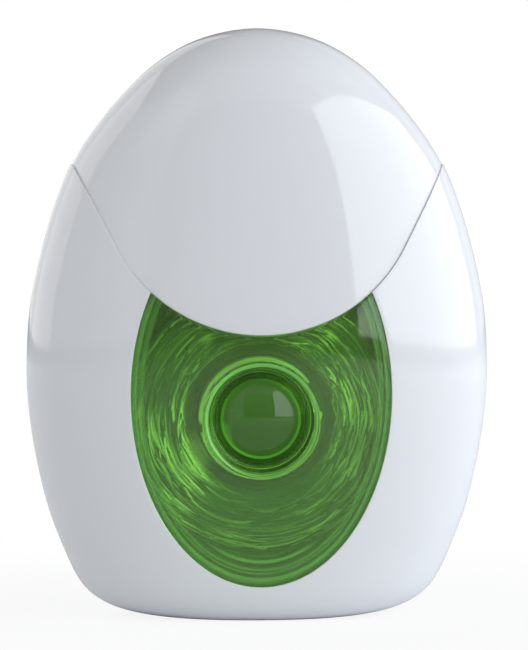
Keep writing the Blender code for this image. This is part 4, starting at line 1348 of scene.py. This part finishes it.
def wound_line():
    """The strand's line, from the core out over the front, across the rim and back in behind."""
    rng = np.random.default_rng(WOUND_SEED)
    steps = WOUND_LAPS * LAP_STEPS
    share = np.linspace(0.0, 1.0, steps)
    bends = [0.0, WOUND_FRONT_SHARE, 1 - WOUND_FRONT_SHARE, 1.0]
    edge = WOUND_OUTER - STRAND_RADIUS
    core = CORE_RADIUS + STRAND_RADIUS
    reach = np.interp(share, bends, [core, edge, edge, core])
    depth = np.interp(share, bends, [WOUND_FRONT, WOUND_FRONT, WOUND_BACK, WOUND_BACK])
    noise = rng.normal(0.0, 1.0, steps + WANDER_STEPS)
    wander = np.convolve(noise, np.hanning(WANDER_STEPS + 1) / 8, "valid") * WANDER
    reach = np.clip(reach + wander, core, edge)
    dip = np.interp(reach, [DIP_END, DIP_START], [INNER_DIP, 0.0])
    depth = np.where(share < 0.5, depth - dip, depth)
    angle = 2 * math.pi * WOUND_LAPS * share
    return np.stack([reach * np.cos(angle), -depth, HUB_LEVEL + reach * np.sin(angle)], axis=-1)


def make_winding(material):
    """The floss on the bobbin: one wound strand, and the loose arcs that cross it at the front."""
    wound = strand_piece("wound_floss", [wound_line()], STRAND_RADIUS, WOUND_TONE_AND_SHADE, material)
    finished(wound, "bobbin", "floss", "floss_winding")
    for name, (count, seed, face, radius) in LOOSE_STRANDS.items():
        strands = loose_strands(name, material, count, seed, face, radius)
        finished(strands, "bobbin", "floss")


def rounded(node, name, body, slot, material, round_edge):
    """A CAD node's shape with its edges rounded, as they are on the moulding or the pressing."""
    bm = opened(frame["nodes"][node].data)
    bmesh.ops.remove_doubles(bm, verts=bm.verts, dist=SOLID_MERGE)
    obj = coated(placed(name, mesh_of(name, bm)), material)
    finished(bevelled(obj, round_edge, 2, EDGE_ANGLE), body, slot, node)


# The stage


def aim(obj, way):
    """Turns a lamp or camera to look back along the way on which it stands."""
    obj.rotation_euler = (-way).to_track_quat("-Z", "Y").to_euler()


def make_stage():
    """The paper that the case stands on, and the room round it."""
    bm = bmesh.new()
    bmesh.ops.create_grid(bm, x_segments=1, y_segments=1, size=FLOOR_REACH)
    coated(placed("floor", mesh_of("floor", bm)), paper_material())
    world = bpy.data.worlds.new("studio")
    bpy.context.scene.world = world
    world.use_nodes = True
    room = Tree(world.node_tree)
    strength = WORLD_LIGHT + (1.0 - WORLD_LIGHT) * room.ray("Is Camera Ray")
    named = {"Color": (1.0, 1.0, 1.0, 1.0), "Strength": strength}
    room.finish("ShaderNodeOutputWorld", "Surface", room.node("ShaderNodeBackground", {}, named))


def make_panel(name, azimuth, away, width, low, high, light, colour):
    """An upright soft panel that faces the case."""
    data = bpy.data.lights.new(name, "AREA")
    data.shape = "RECTANGLE"
    data.size = width
    data.size_y = high - low
    data.energy = math.pi * width * (high - low) * light
    data.color = colour
    lamp = placed(name, data)
    turn = math.radians(azimuth)
    way = Vector((math.sin(turn), -math.cos(turn), 0.0))
    lamp.location = way * away + Vector((0.0, 0.0, (low + high) / 2))
    aim(lamp, way)


def make_camera():
    """The photograph's camera."""
    data = bpy.data.cameras.new("camera")
    data.sensor_fit = "VERTICAL"
    data.sensor_height = SENSOR_HEIGHT
    data.lens = SENSOR_HEIGHT * VIEW_DISTANCE / VIEW_HEIGHT
    camera = placed("camera", data)
    level = math.cos(VIEW_ELEVATION)
    x, y = math.sin(VIEW_AZIMUTH) * level, -math.cos(VIEW_AZIMUTH) * level
    way = Vector((x, y, math.sin(VIEW_ELEVATION)))
    camera.location = VIEW_TARGET + way * VIEW_DISTANCE
    aim(camera, way)
    bpy.context.scene.camera = camera


def main():
    bpy.context.scene.view_settings.view_transform = "Standard"
    white = white_gloss_material()
    green = clear_green_material()
    core = core_white_material()
    floss = floss_material()
    steel = steel_material()
    make_lid(white)
    make_front_shell(white)
    make_rear_shell(white)
    make_window_cover(green)
    coated(frame["nodes"]["cassette_cup"], green)
    rounded("hinge_pin", "pin_bar", "case", "steel", steel, PIN_ROUND)
    rounded("bobbin_core", "core_tube", "bobbin", "core_white", core, CORE_ROUND)
    make_pack(floss)
    make_winding(floss)
    make_lead(floss)
    rounded("cutter_deck", "outlet_deck", "case", "core_white", core, DECK_ROUND)
    rounded("cutter", "cutter_strip", "case", "steel", steel, CUTTER_ROUND)
    make_stage()
    for name, panel in PANELS.items():
        make_panel(name, *panel)
    make_camera()


main()
